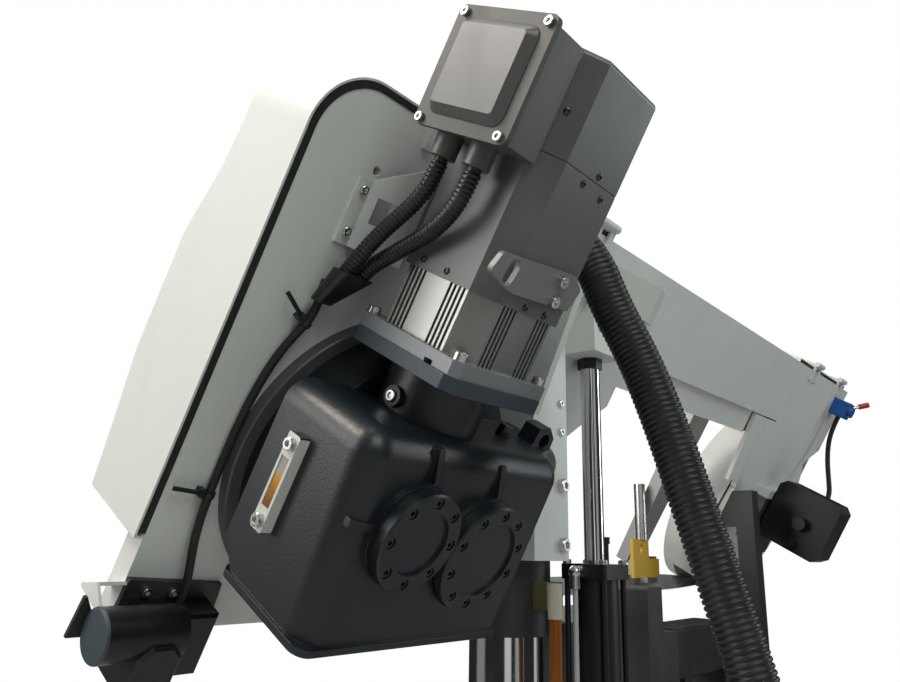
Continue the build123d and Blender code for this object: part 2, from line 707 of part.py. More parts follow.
def motor_rotor():
    """Rotor of the motor, with its shaft and the worm."""
    shaft = bar((MOTOR_X, -72, MOTOR_N), (MOTOR_X, COWL_TOP_U - 70, MOTOR_N), 12)
    shaft += bar((MOTOR_X, INNER_U - 34, MOTOR_N), (MOTOR_X, INNER_U + 34, MOTOR_N), WORM_R)
    shaft += bar((MOTOR_X, 194, MOTOR_N), (MOTOR_X, COWL_TOP_U - 122, MOTOR_N), ROTOR_R)
    return shaft


def motor_body():
    """Motor flange and finned aluminium frame with the rotor's bore."""
    flange = prism_y(
        octagon(MOTOR_X, MOTOR_N, MOTOR_SIDE + 10, 8), MOTOR_FOOT_U, MOTOR_FOOT_U + 15
    )
    frame = prism_y(
        octagon(MOTOR_X, MOTOR_N, MOTOR_SIDE - 8, MOTOR_CHAMFER), MOTOR_FOOT_U + 15, COWL_TOP_U - 90
    )
    half = (MOTOR_SIDE - 8) / 2
    outer = half - MOTOR_CHAMFER - 5
    slots = [group * (outer - FIN_PITCH * i) for group in (-1, 1) for i in range(FIN_SLOTS)]
    for at in slots:
        for side in (-1, 1):
            low_u = MOTOR_FOOT_U + 15
            high_u = COWL_TOP_U - 89
            edge = sorted((side * half + side, side * (half - 9)))
            x0 = MOTOR_X + edge[0]
            x1 = MOTOR_X + edge[1]
            frame -= block(x0, x1, low_u, high_u, MOTOR_N + at - FIN_GAP / 2, MOTOR_N + at + FIN_GAP / 2)
            n0 = MOTOR_N + edge[0]
            n1 = MOTOR_N + edge[1]
            frame -= block(MOTOR_X + at - FIN_GAP / 2, MOTOR_X + at + FIN_GAP / 2, low_u, high_u, n0, n1)
    motor = flange + frame
    motor -= bar((MOTOR_X, 188, MOTOR_N), (MOTOR_X, COWL_TOP_U - 116, MOTOR_N), ROTOR_R + 4)
    motor -= bar((MOTOR_X, 100, MOTOR_N), (MOTOR_X, COWL_TOP_U, MOTOR_N), 12 + FIT)
    motor -= block(-140, -122, MOTOR_FOOT_U - 1, MOTOR_FOOT_U + 4.5, 149, 160)
    return motor


def motor_cowl():
    """Sheet cowl over the upper part of the motor, with its seam."""
    shell = prism_y(octagon(MOTOR_X, MOTOR_N, MOTOR_SIDE, MOTOR_CHAMFER), COWL_START_U, COWL_TOP_U)
    edges = shell.edges().group_by(Axis.Y)[-1]
    shell = fillet(edges, 6)
    shell -= prism_y(
        octagon(MOTOR_X, MOTOR_N, MOTOR_SIDE - 5, MOTOR_CHAMFER), COWL_START_U - 1, COWL_TOP_U - 3
    )
    seam_u = COWL_TOP_U - 98
    seam = prism_y(octagon(MOTOR_X, MOTOR_N, MOTOR_SIDE + 10, MOTOR_CHAMFER), seam_u - 0.6, seam_u + 0.6)
    seam -= prism_y(octagon(MOTOR_X, MOTOR_N, MOTOR_SIDE - 2, MOTOR_CHAMFER), seam_u - 1, seam_u + 1)
    shell -= seam
    for place in circle_points(0, 0, 0, 34, 12):
        x = MOTOR_X + place[0]
        n = MOTOR_N + place[1]
        shell -= bar((x, COWL_TOP_U - 10, n), (x, COWL_TOP_U + 5, n), 6)
    return shell


def terminal_box():
    """Motor terminal box with its two cable glands."""
    face_x = MOTOR_X - MOTOR_SIDE / 2
    low = COWL_TOP_U - 113
    top = COWL_TOP_U - 5
    box = block(face_x - 47, face_x, low, top, 64, 171)
    box -= block(face_x - 48, face_x - 5, low + 5, top - 5, 69, 166)
    for x, n in GLANDS:
        box += bar((x, GLAND_U, n), (x, low + 1, n), 13)
        box -= bar((x, GLAND_U - 1, n), (x, low + 11, n), CONDUIT_BORE_R)
    for drop, n in LID_SCREWS:
        u = COWL_TOP_U + drop
        box += bar((face_x - 47, u, n), (face_x - 4, u, n), 7) & block(-400, 0, low, top, 64, 171)
    return box


def terminal_lid():
    """Lid of the terminal box: a flange with a raised bare panel."""
    face_x = MOTOR_X - MOTOR_SIDE / 2 - 47
    top = COWL_TOP_U
    lid = block(face_x - 6, face_x, top - 117, top, 57, 178)
    lid = fillet(lid.edges().filter_by(Axis.X), 8)
    panel = block(face_x - 15, face_x - 6, top - 104, top - 12, 70, 165)
    panel = fillet(panel.edges().filter_by(Axis.X), 12)
    panel = chamfer(panel.faces().sort_by(Axis.X)[0].edges(), 8)
    return lid + panel


def lifting_plate():
    """Steel plate with an oval eye on the motor's back."""
    face_n = MOTOR_N + MOTOR_SIDE / 2
    outline = [(-144, 266), (-136, 287), (-22, 297), (-4, 286), (-12, 262), (-104, 256)]
    plate = slab(outline, face_n, face_n + 6, 5)
    eye = Pos(-116, 273, face_n - 1) * extrude(SlotOverall(26, 15, rotation=80), amount=9)
    return plate - eye


def oil_gauge():
    """Oil level gauge on the gearbox's side: frame and its long window."""
    body = block(GAUGE_X, -193, 14.4 - 48, 14.4 + 48, 103, 121)
    body = chamfer(body.edges().filter_by(Axis.X), 1.5)
    body -= block(GAUGE_X - 1, GAUGE_X + 7, 14.4 - 25, 14.4 + 25, 106, 118)
    window = block(GAUGE_X + 1, GAUGE_X + 6.9, 14.4 - 24.8, 14.4 + 24.8, 106.2, 117.8)
    return body, window


def head_screws():
    """Bolts and screws on the saw frame."""
    group = []
    reach = MOTOR_SIDE / 2 - 5
    seat_u = MOTOR_FOOT_U + 15
    corners = [(MOTOR_X + a * reach, seat_u, MOTOR_N + b * reach) for a in (-1, 1) for b in (-1, 1)]
    group += screws(corners, (0, 1, 0), 7, 8)
    plate_n = MOTOR_N + MOTOR_SIDE / 2 + 6
    group += screws([(-42, 286, plate_n), (-41.5, 265, plate_n)], (0, 0, 1), 6, 6)
    lid_x = MOTOR_X - MOTOR_SIDE / 2 - 53
    lid_places = [(lid_x, COWL_TOP_U + drop, n) for drop, n in LID_SCREWS]
    group += screws(lid_places, (-1, 0, 0), 4.6, 4)
    group += screws([(GAUGE_X, 52.4, 112), (GAUGE_X, -23.6, 112)], (-1, 0, 0), 6.5, 5)
    group += screws([(-156, 291, 3), (-156, 246, 3)], (0, 0, 1), 5, 4)
    group += screws([(BRUSH_X - 52, BRUSH_U + 37, 6), (BRUSH_X - 21, BRUSH_U + 35, 6)], (0, 0, 1), 5.5, 5)
    group += screws([(63, 112, 130)], (0, 1, 0), 8, 8)
    group += screws([(MOTOR_X - 59, PLUG_U, MOTOR_N)], (-1, 0, 0), 6, 3)
    return group


def carriage_screws():
    """Level screws that hold the carriage to its clamp block."""
    face_y = CARRIAGE_Y
    places = [(DRIVE_X + 258, face_y, 1228), (DRIVE_X + 258, face_y, 1151)]
    places += [(DRIVE_X + 258, face_y, 1339), (DRIVE_X + 258, face_y, 1300)]
    return screws(places[:2], (0, -1, 0), 9, 9) + screws(places[2:], (0, -1, 0), 5, 5)


def behind_plate(part):
    """Level part cut off at the back face of the drive plate."""
    return (HEAD.inverse() * part) & block(-600, 2400, -900, 900, 0, 900)


def carriage():
    """Welded bracket between the back plate and the column clamp."""
    x0 = DRIVE_X + 193
    x1 = DRIVE_X + 276
    y0 = CARRIAGE_Y
    low = CARRIAGE_Z
    part = block(x0, x1, y0, y0 + 12, low, 1436)
    part += block(x0, x1, y0, 80, low, low + 12)
    for x in (x0, x1 - 12):
        part += prism_x([(y0, low), (90, low), (90, 1436), (y0, 1436)], x, x + 12)
    rib = prism_x([(60, 0), (110, 71), (300, 53), (300, 0)], x0 - DRIVE_X, x0 - DRIVE_X + 12)
    return behind_plate(part) + rib


def column_clamp():
    """Round collar that holds the top of the guide column, with its flat pad."""
    part = bar((COLUMN_X, COLUMN_Y, 1036), (COLUMN_X, COLUMN_Y, CARRIAGE_Z), COLUMN_R + 9)
    part += block(COLUMN_X - 20, COLUMN_X + 20, COLUMN_Y - COLUMN_R - 26, COLUMN_Y, 1070, 1104)
    part -= bar((COLUMN_X, COLUMN_Y, 1000), (COLUMN_X, COLUMN_Y, CARRIAGE_Z - 11), COLUMN_R + FIT)
    return HEAD.inverse() * part


def guide_column():
    """Chromed round column that carries the saw frame."""
    column = bar((COLUMN_X, COLUMN_Y, GUIDE_BOTTOM_Z), (COLUMN_X, COLUMN_Y, CARRIAGE_Z - 11), COLUMN_R)
    return HEAD.inverse() * column


def guide_post():
    """Black square post under the idler housing, with its welded foot."""
    half = POST_SIDE / 2
    post = block(POST_X - half, POST_X + half, POST_Y - half, POST_Y + half, GUIDE_BOTTOM_Z, 1286)
    post += block(POST_X - half, POST_X + half, POST_Y + half, 0, 1206, 1286)
    return behind_plate(post)


def lift_rod():
    """Chromed lift rod with its piston and the black nut at its top."""
    rod = bar((LIFT_X, LIFT_Y, 1030), (LIFT_X, LIFT_Y, 1404), LIFT_ROD_R)
    rod += bar((LIFT_X, LIFT_Y, 1030), (LIFT_X, LIFT_Y, 1050), 26 - FIT)
    nut = extrude(Pos(LIFT_X, LIFT_Y, 1404) * RegularPolygon(LIFT_ROD_R + 4, 6), amount=16, dir=(0, 0, 1))
    return HEAD.inverse() * rod, HEAD.inverse() * nut


def lift_cylinder():
    """Lift cylinder on the deck: end blocks, tie rods and barrel."""
    half = LIFT_SIDE / 2
    ends = []
    for z0, z1 in ((DECK_Z, DECK_Z + 30), (LIFT_TOP_Z - LIFT_CAP, LIFT_TOP_Z)):
        end = block(LIFT_X - half, LIFT_X + half, LIFT_Y - half, LIFT_Y + half, z0, z1)
        ends.append(fillet(end.edges().filter_by(Axis.Z), 5))
    ends[1] -= bar((LIFT_X, LIFT_Y, LIFT_TOP_Z - 40), (LIFT_X, LIFT_Y, LIFT_TOP_Z + 10), LIFT_ROD_R + FIT)
    barrel = ring((LIFT_X, LIFT_Y, DECK_Z + 30), (LIFT_X, LIFT_Y, LIFT_TOP_Z - LIFT_CAP), 31, 26)
    rods = []
    for a in (-1, 1):
        for b in (-1, 1):
            x = LIFT_X + a * (half - 7)
            y = LIFT_Y + b * (half - 7)
            rods.append(bar((x, y, DECK_Z + 30), (x, y, LIFT_TOP_Z - LIFT_CAP), 4))
            rods += screws([(x, y, LIFT_TOP_Z)], (0, 0, 1), 6, 6)
    return ends + rods, barrel


def lift_fittings():
    """Oil elbow and line of the lift cylinder, and its black setting screw."""
    side = LIFT_X - LIFT_SIDE / 2
    x = side - 20
    z = LIFT_TOP_Z - LIFT_CAP / 2
    elbow = bar((side, LIFT_Y, z), (x, LIFT_Y, z), 8) + Pos(x, LIFT_Y, z) * Sphere(8.5)
    elbow += bar((x, LIFT_Y, z - 22), (x, LIFT_Y, z), 7)
    line = bar((x, LIFT_Y, DECK_Z), (x, LIFT_Y, z - 22), 3.5)
    stop_x = LIFT_X + 67
    stop_y = LIFT_Y + 18
    setter = bar((stop_x, stop_y, LIFT_TOP_Z - 6), (stop_x, stop_y, 1164), 4)
    setter += bar((stop_x, stop_y, 1155), (stop_x, stop_y, 1165), 6)
    lug_x = LIFT_X + LIFT_SIDE / 2
    setter += block(lug_x, stop_x + 10, stop_y - 10, stop_y + 10, LIFT_TOP_Z - 14, LIFT_TOP_Z - 2)
    return elbow, line, setter


def coolant_pipe():
    """Amber pipe beside the column with its white cap."""
    x = COLUMN_X - 37
    y = COLUMN_Y - 99
    pipe = ring((x, y, DECK_Z), (x, y, 1062), 8, 6)
    cap = bar((x, y, 1062), (x, y, 1104), 9)
    return pipe, cap


def hose_route():
    """Points of the large hose from the drive plate's collar to the base's collar."""
    points = []
    head = [
        (HOSE_X, HOSE_U, HOSE_COLLAR),
        (HOSE_X, HOSE_U, 66),
        (HOSE_X + 4, HOSE_U - 22, 121),
        (HOSE_X + 11, HOSE_U - 63, 165),
    ]
    for x, u, n in head:
        y, z = level(u, n)
        points.append((DRIVE_X + x, y, z))
    points += [(DRIVE_X + x, y, z) for x, y, z in HOSE_HANG]
    foot_y = -BASE_Y - HOSE_COLLAR
    points += [
        (HOSE_FOOT_X - 6, foot_y - 195, HOSE_FOOT_Z + 131),
        (HOSE_FOOT_X - 2, foot_y - 171, HOSE_FOOT_Z + 71),
        (HOSE_FOOT_X, foot_y - 125, HOSE_FOOT_Z + 25),
        (HOSE_FOOT_X, foot_y - 65, HOSE_FOOT_Z),
        (HOSE_FOOT_X, foot_y, HOSE_FOOT_Z),
    ]
    return points


def main_hose():
    """Large ribbed hose between the saw frame and the base."""
    return ribbed("main hose", hose_route(), HOSE_R, HOSE_BORE_R, HOSE_RIBS, 14)


def motor_conduits():
    """Two ribbed conduits from the terminal box to the sleeve on the plate."""
    drop = (GLAND_U - SLEEVE_U) / 149
    first = [
        (GLANDS[0][0], 149, GLANDS[0][1]),
        (GLANDS[0][0], 124, GLANDS[0][1]),
        (-151.5, 100, 76),
        (-154, 75, 61),
        (-156, 50, 47),
        (-157, 25, 36.7),
        (-157, 0, 25),
    ]
    second = [
        (GLANDS[1][0], 149, GLANDS[1][1]),
        (GLANDS[1][0], 124.5, GLANDS[1][1]),
        (-145, 102, 119.5),
        (-142, 82, 104),
        (-140, 63.5, 81.5),
        (-138.5, 44, 59),
        (-137.5, 25, 36.7),
        (-137.5, 0, 25),
    ]
    pair = []
    for name, points in (("conduit a", first), ("conduit b", second)):
        run = [(x, SLEEVE_U + up * drop, n) for x, up, n in points]
        pair.append(ribbed(name, run, CONDUIT_R, CONDUIT_BORE_R, CONDUIT_RIBS, 3))
    return pair


def harness_clips():
    """Tapered sleeve at the foot of the conduits and two cable ties with loose tails."""
    down = (0, -1, 0)
    narrow = Plane(origin=(-158, SLEEVE_U - 27, 13), x_dir=(1, 0, 0), z_dir=down)
    wide = Plane(origin=(-147.2, SLEEVE_U + 12, 31), x_dir=(1, 0, 0), z_dir=down)
    sleeve = loft([wide * RectangleRounded(46, 26, 11), narrow * RectangleRounded(22, 18, 8)], ruled=True)
    parts = [sleeve + block(-158, -140, SLEEVE_U - 19, SLEEVE_U - 5, 0, 18)]
    for (x, u, n), (tail_x, tail_u), (way_x, way_u) in CABLE_TIES:
        way = Vector(way_x, way_u, 0).normalized() * 3
        middle = Vector(x, u, n)
        band = ring(tuple(middle - way), tuple(middle + way), CABLE_R + 1.6, CABLE_R + 0.2)
        out = Vector(tail_x - x, tail_u - u, 0)
        turn = out.normalized()
        start = middle + turn * (CABLE_R + 0.8)
        slant = Plane(origin=start, x_dir=turn, z_dir=(0, 0, 1)).location
        head = slant * block(0, 7, -4, 4, -3, 4)
        tail = slant * block(6, out.length - CABLE_R, -2.2, 2.2, -0.8, 0.8)
        stud = slant * block(0.5, 7, -4, 4, -n, -2)
        parts.append(band + head + tail + stud)
    return parts


def head_cables():
    """Black cable down the back plate, and the hose of the tension unit."""
    panel = [
        (-158, 172, 10),
        (-158, 153, 10),
        (-166, 134, 9),
        (-176, 110, 8),
        (-183.5, 80, 8),
        (-188, 45, 8),
        (-189.5, 5, 8),
        (-189, -35, 8),
        (-187.5, -72, 8),
        (-184, -102, 8.5),
        (-179.5, -128, 12),
        (BRUSH_X - 17, BRUSH_TOP + 23, 17.5),
        (BRUSH_X - 17, BRUSH_TOP, 17.5),
    ]
    feed = [
        (VALVE_X, 312, 22),
        (VALVE_X, 276, 22),
        (VALVE_X + 6, 236, 28),
        (VALVE_X + 2, 194, 46),
        (VALVE_X - 18, 156, 72),
        (VALVE_X - 52, 126, 98),
        (VALVE_X - 94, 104, 112),
        (TENSION_END, 104, 112),
    ]
    return cable("plate cable", panel, CABLE_R), cable("valve hose", feed, VALVE_HOSE_R)


def panel_brackets():
    """White folded bracket behind the motor, and the bracket of the brush drive."""
    under = MOTOR_N - MOTOR_SIDE / 2
    motor_side = block(-165, -145, 232, 302, 0, 3)
    fold = [(-148, 0), (-144, 3), (-104, under - 3), (-104, under), (-107, under), (-148, 3)]
    web = prism_y(fold, 232, 345)
    web -= prism_y([(-140, -10), (-110, 60), (-122, 60), (-140, 30)], 262, 290)
    web -= slab([(-150, 302), (-96, 352), (-150, 352)], -5, 60)
    motor_side += web
    motor_side += block(-107, -40, 250, 345, under - 3, under)
    x = BRUSH_X
    u = BRUSH_U
    brush_side = slab([(x - 74, u + 50), (x + 36, u + 43), (x + 39, u + 7), (x - 76, u + 14)], 0, 6)
    brush_side -= bar((BRUSH_X, BRUSH_U, -1), (BRUSH_X, BRUSH_U, 7), 11)
    return motor_side, brush_side


def brush_motor():
    """Gearmotor of the chip brush: round motor, angle gear block and rubber flap."""
    gear_block = block(BRUSH_X - 65, BRUSH_X + 22, BRUSH_U - 44, BRUSH_TOP, 6, 40)
    gear_block = chamfer(gear_block.faces().sort_by(Axis.Z)[-1].edges(), 3)
    worm_case = block(BRUSH_X - 80, BRUSH_X - 34, BRUSH_U - 48, BRUSH_U + 22, 14, 78)
    worm_case = chamfer(worm_case.edges().filter_by(Axis.Z), 12)
    gear_block += chamfer(worm_case.faces().sort_by(Axis.Z)[-1].edges(), 3)
    gear_block -= bar((BRUSH_X, BRUSH_U, 0), (BRUSH_X, BRUSH_U, 24), 8 + FIT)
    u = BRUSH_U + BRUSH_MOTOR_U
    motor = bar((BRUSH_X - 115, u, BRUSH_MOTOR_N), (BRUSH_X - 30, u, BRUSH_MOTOR_N), 26)
    motor = fillet(motor.edges().group_by(Axis.X)[0], 3)
    x = PLATE_LEFT - 50
    step = x + 17
    end = x + 30
    outline = [(x, u - 19), (end, u - 19), (end, u), (step, u + 6), (x + 6, u + 24), (x + 3, u + 24)]
    flap = slab(outline, BRUSH_MOTOR_N - 30, BRUSH_MOTOR_N - 26.1)
    return gear_block + motor, flap


def brush_wheel():
    """Chip brush on its shaft, running against the blade."""
    hub = bar((BRUSH_X, BRUSH_U, -36), (BRUSH_X, BRUSH_U, -PLATE_T - 2.5), BRUSH_R)
    return hub + bar((BRUSH_X, BRUSH_U, -40), (BRUSH_X, BRUSH_U, 22), 8)


def idler_carriage():
    """Slide that carries the idler wheel's axle, pushed by the tension rod."""
    x = WHEEL_SPAN
    slide = block(x - 78, x + 74, -58, 58, SLIDE_GAP, 28)
    slide += bar((x, 0, WHEEL_MID_N - WHEEL_FACE / 2 - 10), (x, 0, 10), OUTPUT_SHAFT_R)
    n0 = WHEEL_MID_N - WHEEL_FACE / 2
    slide += bar((x, 0, n0 - 10), (x, 0, n0 - 0.6), 34)
    slide += block(TENSION_END + 12, x + 74, -20, 20, 28, 68)
    slide += bar((TENSION_END - 40, 0, 50), (TENSION_END + 14, 0, 50), 12)
    return slide


def tension_unit():
    """Black cylinder block on the slide rails that tightens the blade."""
    x0 = WHEEL_SPAN - 62
    body = block(x0, TENSION_END, -30, 118, 37, 186)
    body = chamfer(body.edges().filter_by(Axis.X), 14)
    body = chamfer(body.faces().sort_by(Axis.X)[-1].edges(), 4)
    foot = block(x0 + 6, TENSION_END - 6, -76, 76, 34, 50)
    body += foot
    body -= block(x0 - 1, TENSION_END + 1, -58, 58, 30, 37)
    body -= bar((TENSION_END - 60, 0, 50), (TENSION_END + 1, 0, 50), 12 + FIT)
    knob = bar((x0 - 26, 40, 120), (x0, 40, 120), 15)
    knob += bar((x0 - 12, -10, 120), (x0, -10, 120), 9)
    return body + knob


def valve_body():
    """Blue hand valve at the idler plate's edge, with its black stem guide."""
    x = VALVE_X
    body = block(x - 22, x + 22, 312, 356, 0, 40)
    body = fillet(body.edges().filter_by(Axis.Z), 7)
    body += bar((x, 334, 40), (x, 334, 50), 14)
    return body - bar((x + 8, 334, 20), (x + 32, 334, 20), 5 + FIT)


def valve_lever():
    """Lever of the hand valve with its round tip."""
    x = VALVE_X
    lever = bar((x + 10, 334, 20), (x + 36, 334, 20), 5)
    lever += bar((x + 22.5, 334, 20), (x + 36, 334, 20), 11)
    lever += bar((x + 30, 336, 22), (x + 52, 362, 48), 4)
    lever += bar((x + 48, 358, 44), (x + 62, 373, 59), 7)
    return lever


def guide_holder(x):
    """Holder of the blade's hard-metal pads, level, with a slot for the blade."""
    y = BLADE_Y
    z = BLADE_Z
    top = z + BLADE_WIDTH / 2
    part = block(DRIVE_X + x - 25, DRIVE_X + x + 25, y - 22, y + 24, z, top + 40)
    slot = BLADE_THICK / 2 + 0.35
    part -= block(DRIVE_X + x - 40, DRIVE_X + x + 40, y - slot, y + slot, z - 10, top + 0.4)
    return HEAD.inverse() * part


def fixed_guide():
    """Blade guide arm on the drive side, bolted to the back plate."""
    arm = block(372, 428, 22 - WHEEL_R, RAIL_U + 40, -112, -84)
    arm += block(372, 428, BEAM_BOTTOM + 14, RAIL_U + 40, -84, -PLATE_T)
    return arm + guide_holder(400)


def guide_arm():
    """Blade guide arm that slides along the beam."""
    face = -BEAM_DEPTH - SLIDE_GAP
    x = GUIDE_X
    low = 22 - WHEEL_R
    top = RAIL_U + 62
    outline = [(x - 28, low), (x + 28, low), (x + 40, 60), (x + 50, top), (x - 50, top), (x - 40, 60)]
    arm = slab(outline, -112, -84)
    arm += block(x - 50, x + 50, RAIL_U - 22, top, -84, face)
    rail_n = -BEAM_DEPTH - 12 - SLIDE_GAP
    arm -= block(x - 60, x + 60, RAIL_U - SLIDE_GAP, RAIL_U + 40 + SLIDE_GAP, rail_n, face + 5)
    return arm + guide_holder(x)


def arm_bracket():
    """Yellow plate on the moving guide and its small bright cylinder."""
    back = BLADE_Y - 22
    z = BLADE_Z
    x = DRIVE_X + GUIDE_X
    plate = block(x - 104, x + 20, back - 8, back, z + 12, z + 52)
    plate += block(x - 104, x - 30, back - 8, back, z + 12, z + 92)
    plate -= bar((x - 66, back - 10, z + 72), (x - 66, back + 5, z + 72), 10)
    pin = bar((x - 56, back - 4, z + 92), (x - 56, back - 4, z + 212), 12)
    return HEAD.inverse() * plate, HEAD.inverse() * pin


def base_cabinet():
    """Welded base with deck, drawer opening, anchor tabs and hose collar."""
    shell = block(-BASE_X, BASE_X, -BASE_Y, BASE_Y, 0, DECK_Z)
    shell = fillet(shell.edges().filter_by(Axis.Z), 12)
    shell -= block(
        -BASE_X + BASE_WALL,
        BASE_X - BASE_WALL,
        -BASE_Y + BASE_WALL,
        BASE_Y - BASE_WALL,
        BASE_WALL + 4,
        DECK_Z - 10,
    )
    gap = DRAWER_X + 5
    shell -= block(-gap, gap, BASE_Y - 20, BASE_Y + 20, 60, DRAWER_TOP_Z + 10)
    for side in (-1, 1):
        x0, x1 = sorted((side * gap, side * (gap + 12)))
        shell += block(x0, x1, -190, BASE_Y - BASE_WALL, BASE_WALL + 4, 74)
        x2, x3 = sorted((side * (gap - 24), side * (gap + 12)))
        shell += block(x2, x3, -190, BASE_Y - BASE_WALL, 54, 64)
    for a in (-1, 1):
        for b in (-1, 1):
            x0, x1 = sorted((a * (BASE_X - 20), a * (ANCHOR_X + 36)))
            y0, y1 = sorted((b * (ANCHOR_Y - 40), b * (ANCHOR_Y + 40)))
            shell += block(x0, x1, y0, y1, 0, 10)
            shell -= bar((a * ANCHOR_X, b * ANCHOR_Y, -1), (a * ANCHOR_X, b * ANCHOR_Y, 11), ANCHOR_R)
    shell -= bar((COLUMN_X, COLUMN_Y, DECK_Z - 20), (COLUMN_X, COLUMN_Y, DECK_Z + 5), COLUMN_R + 15)
    reach = POST_SIDE / 2 + 22
    shell -= block(POST_X - reach, POST_X + reach, POST_Y - reach, POST_Y + reach, DECK_Z - 20, DECK_Z + 5)
    shell -= block(TABLE_LEFT + 40, TABLE_RIGHT - 30, BLADE_Y - 14, BLADE_Y + 16, DECK_Z - 20, DECK_Z + 5)
    collar_end = (HOSE_FOOT_X, -BASE_Y - HOSE_COLLAR, HOSE_FOOT_Z)
    inside = (HOSE_FOOT_X, -BASE_Y + BASE_WALL / 2, HOSE_FOOT_Z)
    shell += bar(collar_end, inside, HOSE_R + 6)
    outside = (HOSE_FOOT_X, -BASE_Y - HOSE_COLLAR - 1, HOSE_FOOT_Z)
    through = (HOSE_FOOT_X, -BASE_Y + BASE_WALL + 1, HOSE_FOOT_Z)
    return shell - bar(outside, through, HOSE_BORE_R)


def work_table():
    """Infeed table on its cheeks and the outfeed table beyond the blade."""
    low = TABLE_Z - TABLE_T
    left = TABLE_LEFT
    right = TABLE_RIGHT
    gap_y = BLADE_Y - 22
    infeed = block(left, right, -200, gap_y, low, TABLE_Z)
    for x in (left, right - 16):
        infeed += block(x, x + 16, -298, gap_y, DECK_Z, TABLE_Z)
    infeed += block(left, right, -200, -188, DECK_Z, TABLE_Z)
    roller_z = TABLE_Z - ROLLER_R
    infeed -= bar((left - 10, ROLLER_Y, roller_z), (right + 10, ROLLER_Y, roller_z), 8 + FIT)
    outfeed = block(left, right, BLADE_Y + 24, 296, low, TABLE_Z)
    for x in (left, right - 16):
        outfeed += block(x, x + 16, BLADE_Y + 24, 296, DECK_Z, TABLE_Z)
    return infeed, outfeed


def roller(y):
    """Idle roller at the back of the infeed table."""
    z = TABLE_Z - ROLLER_R
    body = bar((TABLE_LEFT + 18, y, z), (TABLE_RIGHT - 18, y, z), ROLLER_R)
    return body + bar((TABLE_LEFT, y, z), (TABLE_RIGHT, y, z), 8)


def guide_bearings():
    """Column and post bearings in the deck."""
    column = bar((COLUMN_X, COLUMN_Y, DECK_Z), (COLUMN_X, COLUMN_Y, DECK_Z + 16), COLUMN_R + 21)
    column += bar((COLUMN_X, COLUMN_Y, DECK_Z - 150), (COLUMN_X, COLUMN_Y, DECK_Z + 30), COLUMN_R + 14)
    column -= bar((COLUMN_X, COLUMN_Y, 0), (COLUMN_X, COLUMN_Y, DECK_Z + 50), COLUMN_R + FIT)
    half = POST_SIDE / 2
    rim = half + 32
    post = block(POST_X - rim, POST_X + rim, POST_Y - rim, POST_Y + rim, DECK_Z, DECK_Z + 20)
    reach = half + 20
    post += block(POST_X - reach, POST_X + reach, POST_Y - reach, POST_Y + reach, DECK_Z - 90, DECK_Z + 40)
    inner = half + FIT
    post -= block(POST_X - inner, POST_X + inner, POST_Y - inner, POST_Y + inner, 0, DECK_Z + 60)
    return column, post


def vise_fixed_jaw():
    """Fixed jaw of the vise with its hard face."""
    x = TABLE_LEFT + 2
    jaw = block(x, x + 26, -90, 15, TABLE_Z, FIXED_JAW_Z)
    jaw = fillet(jaw.edges().filter_by(Axis.Y).group_by(Axis.Z)[-1], 4)
    return jaw + block(x + 26, x + 38, -90, 15, TABLE_Z, FIXED_JAW_Z - 6)


def vise_jaw():
    """Moving jaw of the vise with its piston rod."""
    face_x = TABLE_RIGHT - 420
    back_x = face_x + 120
    jaw = block(face_x, back_x, -78, -18, TABLE_Z + SLIDE_GAP, JAW_Z)
    jaw = fillet(jaw.edges().filter_by(Axis.Y).group_by(Axis.Z)[-1], 6)
    jaw -= block(back_x - 60, back_x + 1, -79, -17, VISE_AXIS_Z + VISE_HALF, JAW_Z + 1)
    end_x = TABLE_RIGHT + 10
    rod = bar((back_x - 2, VISE_Y, VISE_AXIS_Z), (end_x, VISE_Y, VISE_AXIS_Z), 16)
    return jaw + rod + bar((end_x - 20, VISE_Y, VISE_AXIS_Z), (end_x, VISE_Y, VISE_AXIS_Z), 28 - FIT)


def vise_cylinder():
    """Black cylinder of the vise on its two feet."""
    x0 = TABLE_RIGHT - 270
    x1 = TABLE_RIGHT + 30
    z = VISE_AXIS_Z
    y0 = VISE_Y - VISE_HALF
    y1 = VISE_Y + VISE_HALF
    body = block(x0, x1, y0, y1, z - VISE_HALF, z + VISE_HALF)
    body = fillet(body.edges().filter_by(Axis.X), 6)
    body -= bar((x0 + 16, VISE_Y, z), (x1 - 12, VISE_Y, z), 28)
    body -= bar((x0 - 10, VISE_Y, z), (x0 + 60, VISE_Y, z), 16 + FIT)
    for x in (x0 + 30, TABLE_RIGHT - 34):
        body += block(x, x + 32, y0, y1, TABLE_Z, z - VISE_HALF + 6)
    return body


def chip_drawer():
    """Chip drawer in the base's front, with its pull."""
    outer = block(-DRAWER_X, DRAWER_X, -180, BASE_Y + 4, 64 + SLIDE_GAP, DRAWER_TOP_Z)
    outer -= block(-DRAWER_X + 4, DRAWER_X - 4, -176, BASE_Y, 70, DRAWER_TOP_Z + 10)
    front = block(-DRAWER_X - 17, DRAWER_X + 17, BASE_Y + 1, BASE_Y + 7, 48, DRAWER_TOP_Z + 22)
    drawer = outer + front
    pull = block(-90, 90, BASE_Y + 34, BASE_Y + 42, 190, 202)
    for x in (-90, 82):
        pull += block(x, x + 8, BASE_Y + 6, BASE_Y + 40, 190, 202)
    return drawer + pull


